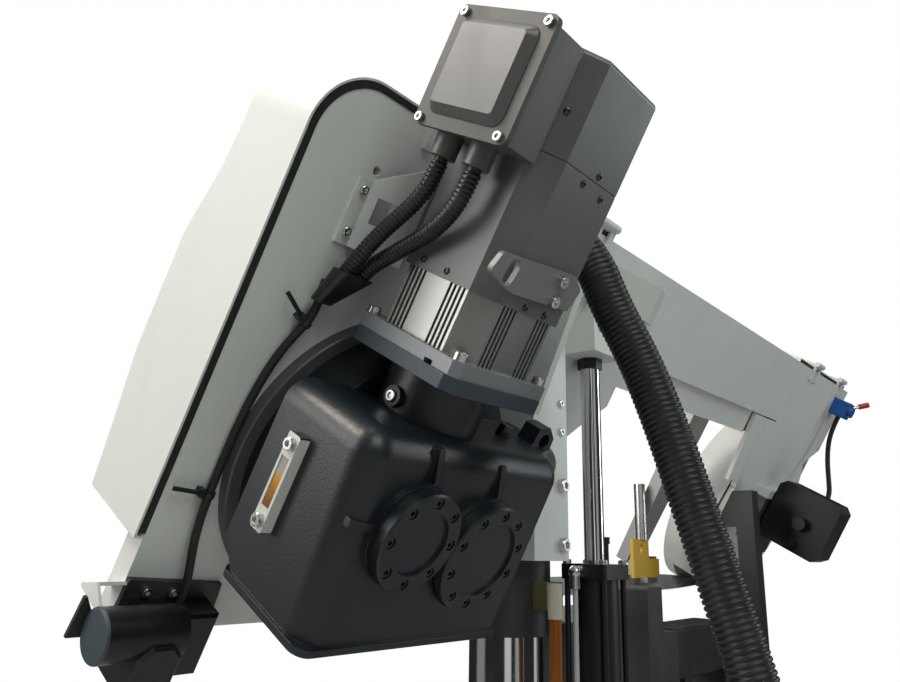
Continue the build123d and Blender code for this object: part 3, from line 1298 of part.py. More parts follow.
def control_console():
    """Control console on the base's front, with seats for its buttons and knob."""
    bend_y = BASE_Y + 70
    side = [
        (BASE_Y, 560),
        (BASE_Y, 1010),
        (bend_y, 1010),
        (CONSOLE_Y, 960),
        (CONSOLE_Y, 620),
        (bend_y, 560),
    ]
    box = prism_x(side, CONSOLE_X, CONSOLE_X + 220)
    for x, z, radius in CONSOLE_SEATS:
        box -= bar((x, CONSOLE_Y - 20, z), (x, CONSOLE_Y + 5, z), radius + SLIDE_GAP)
    x = CONSOLE_X
    box -= block(x + 20, x + 200, CONSOLE_Y - 3, CONSOLE_Y + 5, 850, 930)
    screen = block(x + 22, x + 198, CONSOLE_Y - 3, CONSOLE_Y - 1, 852, 928)
    return box, screen


def push_button(seat, cap_r, cap_h):
    """Push button: a stem in its seat and a round cap."""
    x, z, radius = seat
    stem = bar((x, CONSOLE_Y - 14, z), (x, CONSOLE_Y + 6, z), radius)
    cap = bar((x, CONSOLE_Y + 6, z), (x, CONSOLE_Y + 6 + cap_h, z), cap_r)
    return stem + fillet(cap.edges().group_by(Axis.Y)[-1], min(3, cap_h / 3))


def feed_knob():
    """Knob that sets the feed rate, with its pointer ridge."""
    x, z, radius = CONSOLE_SEATS[3]
    stem = bar((x, CONSOLE_Y - 14, z), (x, CONSOLE_Y + 1, z), radius)
    knob = bar((x, CONSOLE_Y + 1, z), (x, CONSOLE_Y + 18, z), 20)
    return stem + knob + block(x - 3, x + 3, CONSOLE_Y + 16, CONSOLE_Y + 22, z - 4, z + 19)


def group(*pieces):
    """Several solids of one node."""
    solids = []
    for piece in pieces:
        solids += piece.solids()
    return Compound(children=solids)


def head_nodes():
    """Nodes of the leaning saw frame, in its own frame."""
    beam, root, bracket = head_beam()
    guard, lower_guard = blade_guards()
    rod, nut = lift_rod()
    gauge, window = oil_gauge()
    conduits = motor_conduits()
    panel_cable, valve_hose = head_cables()
    motor_bracket, brush_bracket = panel_brackets()
    tag, tag_pin = arm_bracket()
    cap_screws = screws(cap_screw_places(), (0, 0, 1), 5, 5.5, 20)
    level_screws = [HEAD.inverse() * one for one in carriage_screws()]
    idler_bore = OUTPUT_SHAFT_R + FIT
    return {
        "drive_plate": drive_plate(),
        "door_seal": door_seal(),
        "drive_cover": drive_cover(),
        "idler_cover": idler_cover(),
        "head_beam": group(beam, root, bracket),
        "idler_plate": idler_plate(),
        "blade_guards": group(guard, lower_guard),
        "saw_blade": saw_blade(),
        "drive_wheel": wheel(0, OUTPUT_SHAFT_R + FIT),
        "idler_wheel": wheel(WHEEL_SPAN, idler_bore),
        "gearbox_ring": gearbox_ring(),
        "gearbox_housing": gearbox_housing(),
        "bearing_caps": group(*bearing_caps()),
        "cap_screws": group(*cap_screws),
        "gearbox_bearings": group(*gearbox_bearings()),
        "output_shaft": output_shaft(),
        "intermediate_shaft": intermediate_shaft(),
        "motor_rotor": motor_rotor(),
        "motor_body": motor_body(),
        "motor_cowl": motor_cowl(),
        "terminal_box": terminal_box(),
        "terminal_lid": terminal_lid(),
        "lifting_plate": lifting_plate(),
        "oil_gauge": group(gauge, window),
        "head_screws": group(*head_screws(), *level_screws),
        "carriage": carriage(),
        "column_clamp": column_clamp(),
        "guide_column": guide_column(),
        "guide_post": guide_post(),
        "lift_rod": group(rod, nut),
        "motor_conduits": group(*conduits),
        "harness_clips": group(*harness_clips()),
        "head_cables": group(panel_cable, valve_hose),
        "panel_brackets": group(motor_bracket, brush_bracket),
        "brush_motor": group(*brush_motor()),
        "brush_wheel": brush_wheel(),
        "idler_carriage": idler_carriage(),
        "tension_unit": tension_unit(),
        "valve_body": valve_body(),
        "valve_lever": valve_lever(),
        "fixed_guide": fixed_guide(),
        "guide_arm": guide_arm(),
        "arm_bracket": group(tag, tag_pin),
    }


def base_nodes():
    """Nodes of the base, the table, the vise and the console, level."""
    infeed, outfeed = work_table()
    column_bearing, post_bearing = guide_bearings()
    ends, barrel = lift_cylinder()
    elbow, line, setter = lift_fittings()
    pipe, pipe_cap = coolant_pipe()
    console, screen = control_console()
    return {
        "base_cabinet": base_cabinet(),
        "work_table": group(infeed, outfeed),
        "infeed_roller": roller(ROLLER_Y),
        "guide_bearings": group(column_bearing, post_bearing),
        "lift_cylinder": group(barrel, *ends),
        "lift_fittings": group(elbow, line, setter),
        "coolant_pipe": group(pipe, pipe_cap),
        "vise_fixed_jaw": vise_fixed_jaw(),
        "vise_jaw": vise_jaw(),
        "vise_cylinder": vise_cylinder(),
        "chip_drawer": chip_drawer(),
        "control_console": group(console, screen),
        "estop_button": push_button(CONSOLE_SEATS[0], 20, 14),
        "start_button": push_button(CONSOLE_SEATS[1], 13, 5),
        "stop_button": push_button(CONSOLE_SEATS[2], 13, 5),
        "feed_knob": feed_knob(),
        "main_hose": main_hose(),
    }


os.makedirs("parts", exist_ok=True)
for node, shape in head_nodes().items():
    export_step(HEAD * shape, f"parts/{node}.step")
for node, shape in base_nodes().items():
    export_step(shape, f"parts/{node}.step")
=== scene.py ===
# %% [markdown]
# # A semi-automatic band saw in a small studio
# The solids of the saw are already built to size: frame, gearbox, motor, table and vise. This
# lesson gives them their finishes, lays the hoses and cables, adds what is too fine for a solid,
# and lights the saw as in its photograph. Lengths are metres, and no solid is ever moved.

# %% Load the solids
import json
import math
import random

import bmesh
import bpy
from mathutils import Matrix, Vector


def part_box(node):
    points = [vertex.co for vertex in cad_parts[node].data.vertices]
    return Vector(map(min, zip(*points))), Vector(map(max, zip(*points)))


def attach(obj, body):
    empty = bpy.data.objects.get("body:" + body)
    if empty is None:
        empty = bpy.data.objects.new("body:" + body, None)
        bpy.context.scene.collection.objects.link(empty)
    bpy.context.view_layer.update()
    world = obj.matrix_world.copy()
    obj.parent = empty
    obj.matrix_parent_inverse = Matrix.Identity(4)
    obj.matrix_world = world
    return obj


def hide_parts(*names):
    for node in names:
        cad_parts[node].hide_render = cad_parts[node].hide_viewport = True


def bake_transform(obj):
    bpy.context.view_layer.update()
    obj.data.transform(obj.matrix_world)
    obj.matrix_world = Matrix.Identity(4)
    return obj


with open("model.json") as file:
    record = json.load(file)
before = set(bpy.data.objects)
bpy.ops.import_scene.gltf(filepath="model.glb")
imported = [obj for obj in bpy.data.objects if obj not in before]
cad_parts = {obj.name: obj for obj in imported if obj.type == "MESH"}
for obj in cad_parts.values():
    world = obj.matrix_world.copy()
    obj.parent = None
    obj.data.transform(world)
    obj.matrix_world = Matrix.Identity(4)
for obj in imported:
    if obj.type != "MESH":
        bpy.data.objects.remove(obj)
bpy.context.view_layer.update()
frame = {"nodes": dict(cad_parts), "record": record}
nodes = frame["nodes"]
record = frame["record"]
body_of = {name: body for body, names in record["behaviour"]["bodies"].items() for name in names}
slot_of = {part["node"]: part["material_slot"] for part in record["subparts"]}

# %% [markdown]
# ## The leaning saw frame
# The saw frame leans back by 30 degrees. Its own drawing has x along the blade, u up the slope of the
# back plate and n square out of that plate, with the drive wheel's centre as zero. Two small
# functions change between that drawing, in millimetres, and the studio, so that every detail can be
# placed in the numbers of the saw frame itself.

# %% Places on the saw frame
LEAN = math.radians(30)
DRIVE_WHEEL = Vector((-0.701, -0.0482, 1.2422))
ALONG = Vector((1, 0, 0))
UP_SLOPE = Vector((0, -math.sin(LEAN), math.cos(LEAN)))
OUT_BACK = Vector((0, -math.cos(LEAN), -math.sin(LEAN)))


def on_head(x, u, n):
    """Studio place of a place on the saw frame, given in millimetres."""
    return DRIVE_WHEEL + (ALONG * x + UP_SLOPE * u + OUT_BACK * n) / 1000


def off_head(place):
    """Saw frame place, in millimetres, of a studio place."""
    run = (place - DRIVE_WHEEL) * 1000
    return run.dot(ALONG), run.dot(UP_SLOPE), run.dot(OUT_BACK)


print("gearbox centre:", [round(v, 3) for v in on_head(0, 0, 110)])

# %% [markdown]
# ## The camera
# The photograph looks at the drive end from behind, from a low place and upwards. Place, tilt and
# lens were worked out from straight edges of the saw. The camera comes first, because every later
# step is compared with the photograph through it.

# %% Camera
camera = bpy.data.objects.new("camera", bpy.data.cameras.new("camera"))
camera.data.lens = 31.52
camera.data.sensor_width = 36
camera.data.clip_end = 60
VIEW_RIGHT = Vector((0.6292, -0.7770, 0.0199))
VIEW_UP = Vector((-0.2106, -0.1458, 0.9667))
VIEW_FORWARD = Vector((0.7482, 0.6124, 0.2554))
CAMERA_PLACE = Vector((-1.366, -0.730, 1.143))
tilt = Matrix((VIEW_RIGHT, VIEW_UP, -VIEW_FORWARD)).transposed()
camera.matrix_world = Matrix.Translation(CAMERA_PLACE) @ tilt.to_4x4()
bpy.context.scene.collection.objects.link(camera)
bpy.context.scene.camera = camera
print("camera at", [round(v, 3) for v in CAMERA_PLACE])

# %% [markdown]
# ## Sums with sockets
# A finish is a small network of nodes. Wiring each Math node by hand hides the idea, so a socket is
# wrapped in a class that knows plus, minus and times: `1 - mask` adds its own Math node. Any other
# node comes from one method, which sets the node's options first and its sockets second.

# %% A socket that can be used in sums
class Wire:
    """An output socket that can be added, multiplied and compared."""

    def __init__(self, wiring, socket):
        self.wiring = wiring
        self.socket = socket

    def sum(self, operation, left, right):
        return self.wiring.node("ShaderNodeMath", {"operation": operation}, {0: left, 1: right})

    def __add__(self, other):
        return self.sum("ADD", self, other)

    def __radd__(self, other):
        return self.sum("ADD", other, self)

    def __sub__(self, other):
        return self.sum("SUBTRACT", self, other)

    def __rsub__(self, other):
        return self.sum("SUBTRACT", other, self)

    def __mul__(self, other):
        return self.sum("MULTIPLY", self, other)

    def __rmul__(self, other):
        return self.sum("MULTIPLY", other, self)

    def __pow__(self, other):
        return self.sum("POWER", self, other)

    def __mod__(self, other):
        return self.sum("FLOORED_MODULO", self, other)

    def __gt__(self, other):
        return self.sum("GREATER_THAN", self, other)

    def __lt__(self, other):
        return self.sum("LESS_THAN", self, other)


class Wiring:
    """A node tree that grows one node at a time."""

    def __init__(self, tree):
        self.tree = tree

    def node(self, kind, settings, sockets, output=0):
        made = self.tree.nodes.new(kind)
        for key, value in settings.items():
            setattr(made, key, value)
        for key, value in sockets.items():
            if isinstance(value, Wire):
                self.tree.links.new(value.socket, made.inputs[key])
            else:
                made.inputs[key].default_value = value
        return Wire(self, made.outputs[output]) if made.outputs else made

    def band(self, value, low, high):
        """0 below low, 1 above high, smooth between."""
        sockets = {"Value": value, "From Min": low, "From Max": high}
        return self.node("ShaderNodeMapRange", {"interpolation_type": "SMOOTHSTEP"}, sockets)


print("sockets are ready for sums")

# %% [markdown]
# ## What every finish can do
# Paint, casting and plated steel differ in a few numbers, but use the same tricks: noise that is
# measured in spots per metre, so that its grain has a real size; a mask along edges, where a
# finish wears first; and bump for grain too small to model. The edge mask compares the flat normal
# with one that the Bevel node has rounded. Where the mask is on, the rounded normal is used, which
# gives each edge its thin highlight and leaves turned faces as smooth as they are.

# %% The finish class
class Finish(Wiring):
    """A material: one shader and the nodes that feed it."""

    def __init__(self, name, edge=0.001):
        self.material = bpy.data.materials.new(name)
        self.material.use_nodes = True
        super().__init__(self.material.node_tree)
        self.shader = self.tree.nodes["Principled BSDF"]
        self.place = self.node("ShaderNodeTexCoord", {}, {}, "Object")
        rounded = self.node("ShaderNodeBevel", {"samples": 4}, {"Radius": edge})
        flat = self.node("ShaderNodeNewGeometry", {}, {}, "True Normal")
        sockets = {0: rounded, 1: flat}
        lean = self.node("ShaderNodeVectorMath", {"operation": "DOT_PRODUCT"}, sockets, "Value")
        self.edge = self.band(1 - lean, 0.03, 0.20)
        smooth = self.node("ShaderNodeNewGeometry", {}, {}, "Normal")
        sockets = {0: self.edge, 4: smooth, 5: rounded}
        self.normal = self.node("ShaderNodeMix", {"data_type": "VECTOR"}, sockets, 1)

    def noise(self, per_metre, detail=2.0, stretch=(1, 1, 1), distortion=0.0):
        """Noise with that many spots per metre, drawn out along an axis by a small stretch."""
        scale = [per_metre * s for s in stretch]
        spot = self.node("ShaderNodeVectorMath", {"operation": "MULTIPLY"}, {0: self.place, 1: scale})
        sockets = {"Vector": spot, "Scale": 1.0, "Detail": detail, "Distortion": distortion}
        return self.node("ShaderNodeTexNoise", {}, sockets)

    def mix(self, share, first, second):
        """Colour between two colours, plain ones given as three numbers."""
        first, second = [c if isinstance(c, Wire) else (*c, 1) for c in (first, second)]
        return self.node("ShaderNodeMix", {"data_type": "RGBA"}, {0: share, 6: first, 7: second}, 2)

    def height(self, way):
        """Distance along a direction from the drive wheel's centre, in metres."""
        sockets = {0: self.place, 1: DRIVE_WHEEL}
        run = self.node("ShaderNodeVectorMath", {"operation": "SUBTRACT"}, sockets)
        sockets = {0: run, 1: way}
        return self.node("ShaderNodeVectorMath", {"operation": "DOT_PRODUCT"}, sockets, "Value")

    def bump(self, height, depth):
        """Normal of a grain that is depth metres deep, on rounded edges."""
        sockets = {"Strength": 1.0, "Distance": depth, "Height": height, "Normal": self.normal}
        return self.node("ShaderNodeBump", {}, sockets)

    def shade(self, **sockets):
        for key, value in sockets.items():
            socket = self.shader.inputs[key.replace("_", " ")]
            if isinstance(value, Wire):
                self.tree.links.new(value.socket, socket)
            else:
                socket.default_value = (*value, 1) if isinstance(value, tuple) else value
        return self.material


def tone(colour, share):
    """The same colour, lighter or darker."""
    return tuple(c * share for c in colour)


print("finish class ready")

# %% [markdown]
# ## Sprayed paint
# The saw frame is powder-coated sheet steel. Powder melts into a skin with a very fine orange peel,
# it lies thinner on edges, and a used machine has a faint film of dust and oil. So the colour
# drifts slowly, the film breaks up the gloss, and the edges are a little brighter.

# %% Sheet paint
def sheet_paint(name, colour, gloss, peel=0.00003, film=0.10, edge_tone=1.12, coat=0.0):
    """Sprayed paint on sheet steel."""
    paint = Finish(name)
    slow = paint.noise(3.1, 3)
    dust = paint.band(paint.noise(14, 6, (1, 1, 0.3), 0.4), 0.45, 0.78)
    fine = paint.noise(850, 1)
    shade = paint.mix(slow, tone(colour, 0.93), tone(colour, 1.05))
    shade = paint.mix(dust * film, shade, tone((0.42, 0.40, 0.36), 0.6 + 0.4 * max(colour)))
    shade = paint.mix(paint.edge * 0.6, shade, tone(colour, edge_tone))
    return paint.shade(
        Base_Color=shade,
        Roughness=gloss + dust * 0.10 + (slow - 0.5) * 0.08,
        Normal=paint.bump(fine, peel),
        Coat_Weight=coat,
        Coat_Roughness=0.12,
    )


white_paint = sheet_paint("white_paint", (0.70, 0.715, 0.69), 0.42)
cowl_paint = sheet_paint("cowl_paint", (0.105, 0.110, 0.112), 0.36, 0.00002, 0.10, 1.6)
box_paint = sheet_paint("box_paint", (0.085, 0.088, 0.087), 0.38, 0.00001, 0.04, 1.5, 0.1)
rim_paint = sheet_paint("rim_paint", (0.060, 0.062, 0.061), 0.52, 0.00001, 0.04, 1.5, 0.0)
plate_paint = sheet_paint("plate_paint", (0.17, 0.175, 0.175), 0.36, 0.00002, 0.10, 1.5)
base_paint = sheet_paint("base_paint", (0.50, 0.52, 0.52), 0.48, 0.00006)
console_paint = sheet_paint("console_paint", (0.19, 0.20, 0.215), 0.45, 0.00006)
black_paint = sheet_paint("black_paint", (0.005, 0.005, 0.006), 0.36, 0.00002, 0.01, 3.0)
dark_paint = sheet_paint("dark_paint", (0.022, 0.024, 0.026), 0.42, 0.00003, 0.08, 2.4)
yellow_paint = sheet_paint("yellow_paint", (0.60, 0.36, 0.02), 0.36)
blue_paint = sheet_paint("blue_paint", (0.010, 0.105, 0.42), 0.28, film=0.02, coat=0.2)
# Yellow darkened to olive: painted shade on the pad of the column clamp.
olive_paint = sheet_paint("olive_paint", (0.105, 0.088, 0.022), 0.45)
print("finishes with paints:", len(bpy.data.materials))

# %% [markdown]
# ## Painted castings
# The gearbox is cast iron under dark blue-grey paint. Sand leaves a rough skin which paint rounds off
# but does not hide: shallow dents a few millimetres across with finer grain on top. Both are bump,
# because they are far smaller than the case. Paint on its outer edges is rubbed a little lighter.

# %% Casting
def casting(name, colour, gloss, grain=0.00020, edge_tone=2.0, metal=0.0):
    """Sand casting, painted, or bare where metal is 1."""
    cast = Finish(name, 0.0015)
    dents = cast.noise(330, 2)
    sand = cast.noise(900, 2)
    slow = cast.noise(9, 3)
    rubbed = cast.edge * cast.band(cast.noise(40, 4), 0.35, 0.65)
    shade = cast.mix(slow, tone(colour, 0.95), tone(colour, 1.05))
    shade = cast.mix(cast.band(sand, 0.55, 0.75) * 0.20, shade, tone(colour, 1.4))
    shade = cast.mix(rubbed * 0.8, shade, tone(colour, edge_tone))
    return cast.shade(
        Base_Color=shade,
        Metallic=metal,
        Roughness=gloss + (dents - 0.5) * 0.16 + (slow - 0.5) * 0.04,
        Normal=cast.bump(dents * 0.75 + sand * 0.25, grain),
    )


case_paint = casting("case_paint", (0.008, 0.011, 0.015), 0.38)
flange_paint = casting("flange_paint", (0.030, 0.045, 0.058), 0.50, 0.00008)
ring_paint = casting("ring_paint", (0.085, 0.090, 0.091), 0.40, 0.00006)
motor_cast = casting("motor_cast", (0.30, 0.30, 0.29), 0.34, 0.00008, 1.25, 0.8)
flange_cast = casting("flange_cast", (0.20, 0.215, 0.225), 0.44, 0.00008, 1.3, 0.2)
print("finishes with castings:", len(bpy.data.materials))

# %% [markdown]
# ## Bare metal
# Turned, ground and plated steel all shine, but the tool leaves its direction in them. Noise that is
# stretched along one axis gives those fine lines in roughness and bump. Hard chrome has hardly any,
# and zinc-plated screws have soft grey clouds instead.

# %% Bare metal
def bare_metal(name, colour, gloss, lines=(1, 1, 1), per_metre=900, depth=0.000006, clouds=0.12):
    """Uncoated metal with tool lines drawn out along one axis."""
    metal = Finish(name, 0.0006)
    tool = metal.noise(per_metre, 3, lines)
    cloud = metal.noise(22, 4)
    spots = metal.band(metal.noise(160, 5), 0.62, 0.80)
    shade = metal.mix(cloud, tone(colour, 1 - clouds), tone(colour, 1 + clouds * 0.6))
    shade = metal.mix(spots * 0.35, shade, tone(colour, 0.55))
    return metal.shade(
        Base_Color=shade,
        Metallic=1.0,
        Roughness=gloss + (tool - 0.5) * 0.16 + spots * 0.12 + (cloud - 0.5) * 0.08,
        Normal=metal.bump(tool, depth),
    )


steel = bare_metal("steel", (0.36, 0.36, 0.355), 0.52, (0.04, 1, 1))
blade_steel = bare_metal("blade_steel", (0.46, 0.47, 0.48), 0.30, (0.02, 1, 1), 1400)
chrome = bare_metal("chrome", (0.74, 0.75, 0.76), 0.10, (1, 1, 0.05), 700, 0.000002, 0.04)
zinc = bare_metal("zinc", (0.66, 0.655, 0.63), 0.28, (1, 1, 1), 1200, 0.000004, 0.18)
dark_zinc = bare_metal("dark_zinc", (0.09, 0.093, 0.097), 0.38, (1, 1, 1), 1200, 0.000004, 0.20)
brass = bare_metal("brass", (0.52, 0.38, 0.17), 0.32, (1, 1, 1), 1100, 0.000004, 0.18)
print("finishes with bare metals:", len(bpy.data.materials))

# %% [markdown]
# ## Plastics and rubber
# Moulded plastic has a fine even grain from its mould, and rubber is duller and collects dust. Both
# are dark here, so what tells them apart is their gloss: small changes in roughness matter more than
# changes in colour.

# %% Moulded parts
def moulded(name, colour, gloss, per_metre=1500, depth=0.00002, dust=0.06):
    """Moulded plastic or rubber."""
    skin = Finish(name, 0.0005)
    grain = skin.noise(per_metre, 2)
    slow = skin.noise(9, 3)
    dusty = skin.band(skin.noise(55, 5), 0.48, 0.75)
    shade = skin.mix(slow, tone(colour, 0.88), tone(colour, 1.1))
    shade = skin.mix(dusty * dust, shade, (0.30, 0.29, 0.27))
    shade = skin.mix(skin.edge * 0.3, shade, tone(colour, 1.4))
    return skin.shade(
        Base_Color=shade,
        Roughness=gloss + dusty * 0.14 + (slow - 0.5) * 0.06,
        Normal=skin.bump(grain, depth),
    )


black_plastic = moulded("black_plastic", (0.013, 0.013, 0.014), 0.36)
hose_plastic = moulded("hose_plastic", (0.012, 0.012, 0.013), 0.40, 1100, 0.00003, 0.05)
rubber = moulded("rubber", (0.012, 0.012, 0.013), 0.62, 700, 0.00004, 0.04)
amber_tube = moulded("amber_tube", (0.30, 0.085, 0.004), 0.24, 300, 0.00001, 0.0)
cream_plastic = moulded("cream_plastic", (0.62, 0.58, 0.47), 0.35)
line_plastic = moulded("line_plastic", (0.60, 0.61, 0.60), 0.32)
red_plastic = moulded("red_plastic", (0.50, 0.020, 0.016), 0.26)
green_plastic = moulded("green_plastic", (0.020, 0.24, 0.060), 0.28)
gauge_plastic = moulded("gauge_plastic", (0.60, 0.61, 0.58), 0.32)
screen_glass = moulded("screen_glass", (0.010, 0.013, 0.016), 0.10, 60, 0.000002, 0.02)
print("finishes with plastics:", len(bpy.data.materials))

# %% [markdown]
# ## Oil behind the gauge glass
# The gauge on the gearbox has a long window. Oil fills it up to a level, and the empty part above is
# grey. The level follows the real oil, so the mask is a height, measured up the slope of the plate,
# with a painted highlight as a thin bright line where the oil climbs the glass. The amber is painted
# darker towards the bottom of the window and lighter towards the level: painted shade and light.

# %% Sight glass
def sight_glass(name, level):
    """Window with oil up to a height above the drive wheel's centre."""
    glass = Finish(name, 0.0004)
    rise = glass.height(UP_SLOPE) + (glass.noise(120, 2) - 0.5) * 0.002
    oil = 1 - glass.band(rise, level - 0.0008, level + 0.0008)
    # Painted highlight: a thin bright line just under the oil level.
    brim_highlight = glass.band(rise, level - 0.003, level) * oil
    cloud = glass.noise(60, 3)
    # Painted shade and light: the amber darkens towards the bottom of the window and lightens towards
    # the level.
    depth = glass.band(rise + (cloud - 0.5) * 0.02, level - 0.038, level)
    amber = glass.mix(depth, (0.13, 0.030, 0.003), (0.50, 0.235, 0.022))
    shade = glass.mix(oil, (0.32, 0.31, 0.28), glass.mix(brim_highlight * 0.6, amber, (0.62, 0.36, 0.10)))
    return glass.shade(
        Base_Color=shade,
        Roughness=0.10 + cloud * 0.08,
        Coat_Weight=0.6,
        Coat_Roughness=0.05,
    )


OIL_LEVEL = 0.0225
sight_glass_oil = sight_glass("sight_glass_oil", OIL_LEVEL)
print("oil stands", OIL_LEVEL, "m above the drive wheel's centre")

# %% [markdown]
# ## Coats for the solids
# Most solids are one material on the real saw, so they keep their own mesh and take one finish. The
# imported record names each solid's finish slot, and a short table turns slots into finishes. A few
# solids of the same slot are finished differently, which the second table says.

# %% One finish for each solid
SLOT_FINISH = {
    "white_paint": white_paint,
    "grey_paint": cowl_paint,
    "case_paint": case_paint,
    "ring_paint": ring_paint,
    "base_paint": base_paint,
    "dark_steel": dark_paint,
    "steel": steel,
    "blade_steel": blade_steel,
    "chrome": chrome,
    "aluminium": motor_cast,
    "bolts": zinc,
    "black_plastic": black_plastic,
    "black_paint": black_paint,
    "rubber": rubber,
    "gauge": gauge_plastic,
    "amber": amber_tube,
    "blue": blue_paint,
    "red": red_plastic,
    "green": green_plastic,
    "yellow": yellow_paint,
    "console_paint": console_paint,
}
NODE_FINISH = {
    "terminal_box": box_paint,
    "lifting_plate": plate_paint,
    "cap_screws": dark_zinc,
    "idler_carriage": steel,
}
for name, solid in nodes.items():
    finish = NODE_FINISH.get(name, SLOT_FINISH[slot_of[name]])
    if not solid.material_slots:
        solid.data.materials.append(finish)
    for holder in solid.material_slots:
        holder.material = finish
print("coated solids:", len(nodes))

# %% [markdown]
# ## Solids with two finishes
# A nut on a chromed rod, a pad on a collar whose olive is painted shade on yellow, and the motor
# fins, whose grooves carry painted shade in black, share a solid with something else, and the lid of
# the terminal box has a duller rim. The solid itself may not change, so a merged copy stands for it.
# Each face of the copy asks a small function which finish it has, from where the face lies and from
# the size of the loose part that it belongs to.

# %% A merged copy with a finish for each face
SAME_PLACE = 0.00001
SHARP_EDGE = math.radians(28)


def loose_parts(mesh):
    """Longest side, in millimetres, of the loose part that each face belongs to."""
    sides = {}
    waiting = set(mesh.faces)
    while waiting:
        part = [waiting.pop()]
        for face in part:
            for edge in face.edges:
                for other in edge.link_faces:
                    if other in waiting:
                        waiting.remove(other)
                        part.append(other)
        corners = [corner.co for face in part for corner in face.verts]
        spans = [max(c[i] for c in corners) - min(c[i] for c in corners) for i in range(3)]
        for face in part:
            sides[face] = max(spans) * 1000
    return sides


def recoat(node, finishes, choose):
    """Stands for a solid with a copy whose faces have the finish that choose names."""
    mesh = bmesh.new()
    mesh.from_mesh(nodes[node].data)
    bmesh.ops.remove_doubles(mesh, verts=mesh.verts, dist=SAME_PLACE)
    sides = loose_parts(mesh)
    names = list(finishes)
    for face in mesh.faces:
        face.smooth = True
        finish = choose(face.calc_center_median(), face.normal, sides[face])
        face.material_index = names.index(finish)
    copy = bpy.data.meshes.new(node + "_coated")
    mesh.to_mesh(copy)
    mesh.free()
    copy.attributes.remove(copy.attributes["custom_normal"])
    copy.set_sharp_from_angle(angle=SHARP_EDGE)
    for name in names:
        copy.materials.append(finishes[name])
    piece = bpy.data.objects.new(node + "_coated", copy)
    bpy.context.scene.collection.objects.link(piece)
    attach(piece, body_of[node])
    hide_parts(node)
    print(node, "has finishes:", names)


# %% Gearbox, motor, gauge and terminal box
GEARBOX_FLANGE_U = 149
MOTOR_FLANGE_TOP_U = 182
MOTOR_AXIS = (-55, 115)
FIN_FLOOR = 58.5
CHAMFER_LEAN = 0.5
SMALL_PART = 60
GAUGE_MIDDLE_U = 14.4
GAUGE_END = 40
GAUGE_END_LEAN = 0.6
LID_PANEL_X = -178.6
BREATHER_AT = (63, 112)
BREATHER_REACH = 25


def gearbox_part(place, normal, side):
    return "flange" if off_head(place)[1] > GEARBOX_FLANGE_U else "case"


# Faces on the floors between the fins get black paint: painted shade for the shadow in the grooves.
def motor_part(place, normal, side):
    x, u, n = off_head(place)
    reach = max(abs(x - MOTOR_AXIS[0]), abs(n - MOTOR_AXIS[1]))
    if u < MOTOR_FLANGE_TOP_U:
        return "flange"
    slanted = min(abs(normal.dot(ALONG)), abs(normal.dot(OUT_BACK))) > CHAMFER_LEAN
    return "painted_shade_groove" if reach < FIN_FLOOR and not slanted else "frame"


def gauge_part(place, normal, side):
    if side < SMALL_PART:
        return "window"
    at_end = abs(off_head(place)[1] - GAUGE_MIDDLE_U) > GAUGE_END
    return "end" if at_end and abs(normal.dot(UP_SLOPE)) > GAUGE_END_LEAN else "frame"


def lid_part(place, normal, side):
    return "rim" if off_head(place)[0] > LID_PANEL_X else "panel"


def head_screw_part(place, normal, side):
    x, u, n = off_head(place)
    return "breather" if math.dist((x, u), BREATHER_AT) < BREATHER_REACH else "screw"


recoat("gearbox_housing", {"case": case_paint, "flange": flange_paint}, gearbox_part)
MOTOR_FINISHES = {"frame": motor_cast, "flange": flange_cast, "painted_shade_groove": black_paint}
recoat("motor_body", MOTOR_FINISHES, motor_part)
GAUGE_FINISHES = {"frame": gauge_plastic, "window": sight_glass_oil, "end": black_plastic}
recoat("oil_gauge", GAUGE_FINISHES, gauge_part)
recoat("terminal_lid", {"panel": box_paint, "rim": rim_paint}, lid_part)
recoat("head_screws", {"screw": zinc, "breather": dark_zinc}, head_screw_part)

# %% Column, lift and pipe
PAD_Y = -0.1452
PAD_TOP_Z = 1.105
BOLT_PART = 15
LONG_PART = 300
ELBOW_X = -0.38


# The pad is yellow, and its olive finish is painted shade.
def clamp_part(place, normal, side):
    return "pad" if place.y < PAD_Y and place.z < PAD_TOP_Z else "collar"


def rod_part(place, normal, side):
    return "nut" if side < SMALL_PART else "rod"


def cylinder_part(place, normal, side):
    return "bolt" if side < BOLT_PART else "barrel"


def fitting_part(place, normal, side):
    if side > LONG_PART:
        return "line"
    return "elbow" if place.x < ELBOW_X else "setter"


def pipe_part(place, normal, side):
    return "cap" if side < SMALL_PART else "pipe"


recoat("column_clamp", {"collar": dark_paint, "pad": olive_paint}, clamp_part)
recoat("lift_rod", {"rod": chrome, "nut": black_paint}, rod_part)
recoat("lift_cylinder", {"barrel": black_paint, "bolt": zinc}, cylinder_part)
FITTING_FINISHES = {"elbow": zinc, "line": line_plastic, "setter": black_paint}
recoat("lift_fittings", FITTING_FINISHES, fitting_part)
recoat("coolant_pipe", {"pipe": amber_tube, "cap": cream_plastic}, pipe_part)

# %% Brackets, brush motor, valve lever and console
BRUSH_END_X = -272
LEVER_TIP_N = 42
PIN_N = -68
PIN_SIDE = 118
PIN_U = -115
SCREEN_SIDE = 200


# The brush bracket is white paint like the folded one, and its dark paint is painted shade.
def bracket_part(place, normal, side):
    return "brush" if off_head(place)[1] < 0 else "folded"


def brush_motor_part(place, normal, side):
    if side < SMALL_PART:
        return "flap"
    return "end" if off_head(place)[0] < BRUSH_END_X else "body"


def lever_part(place, normal, side):
    return "tip" if off_head(place)[2] > LEVER_TIP_N else "shank"


def guide_tag_part(place, normal, side):
    x, u, n = off_head(place)
    return "pin" if n < PIN_N or side > PIN_SIDE and u > PIN_U else "tag"


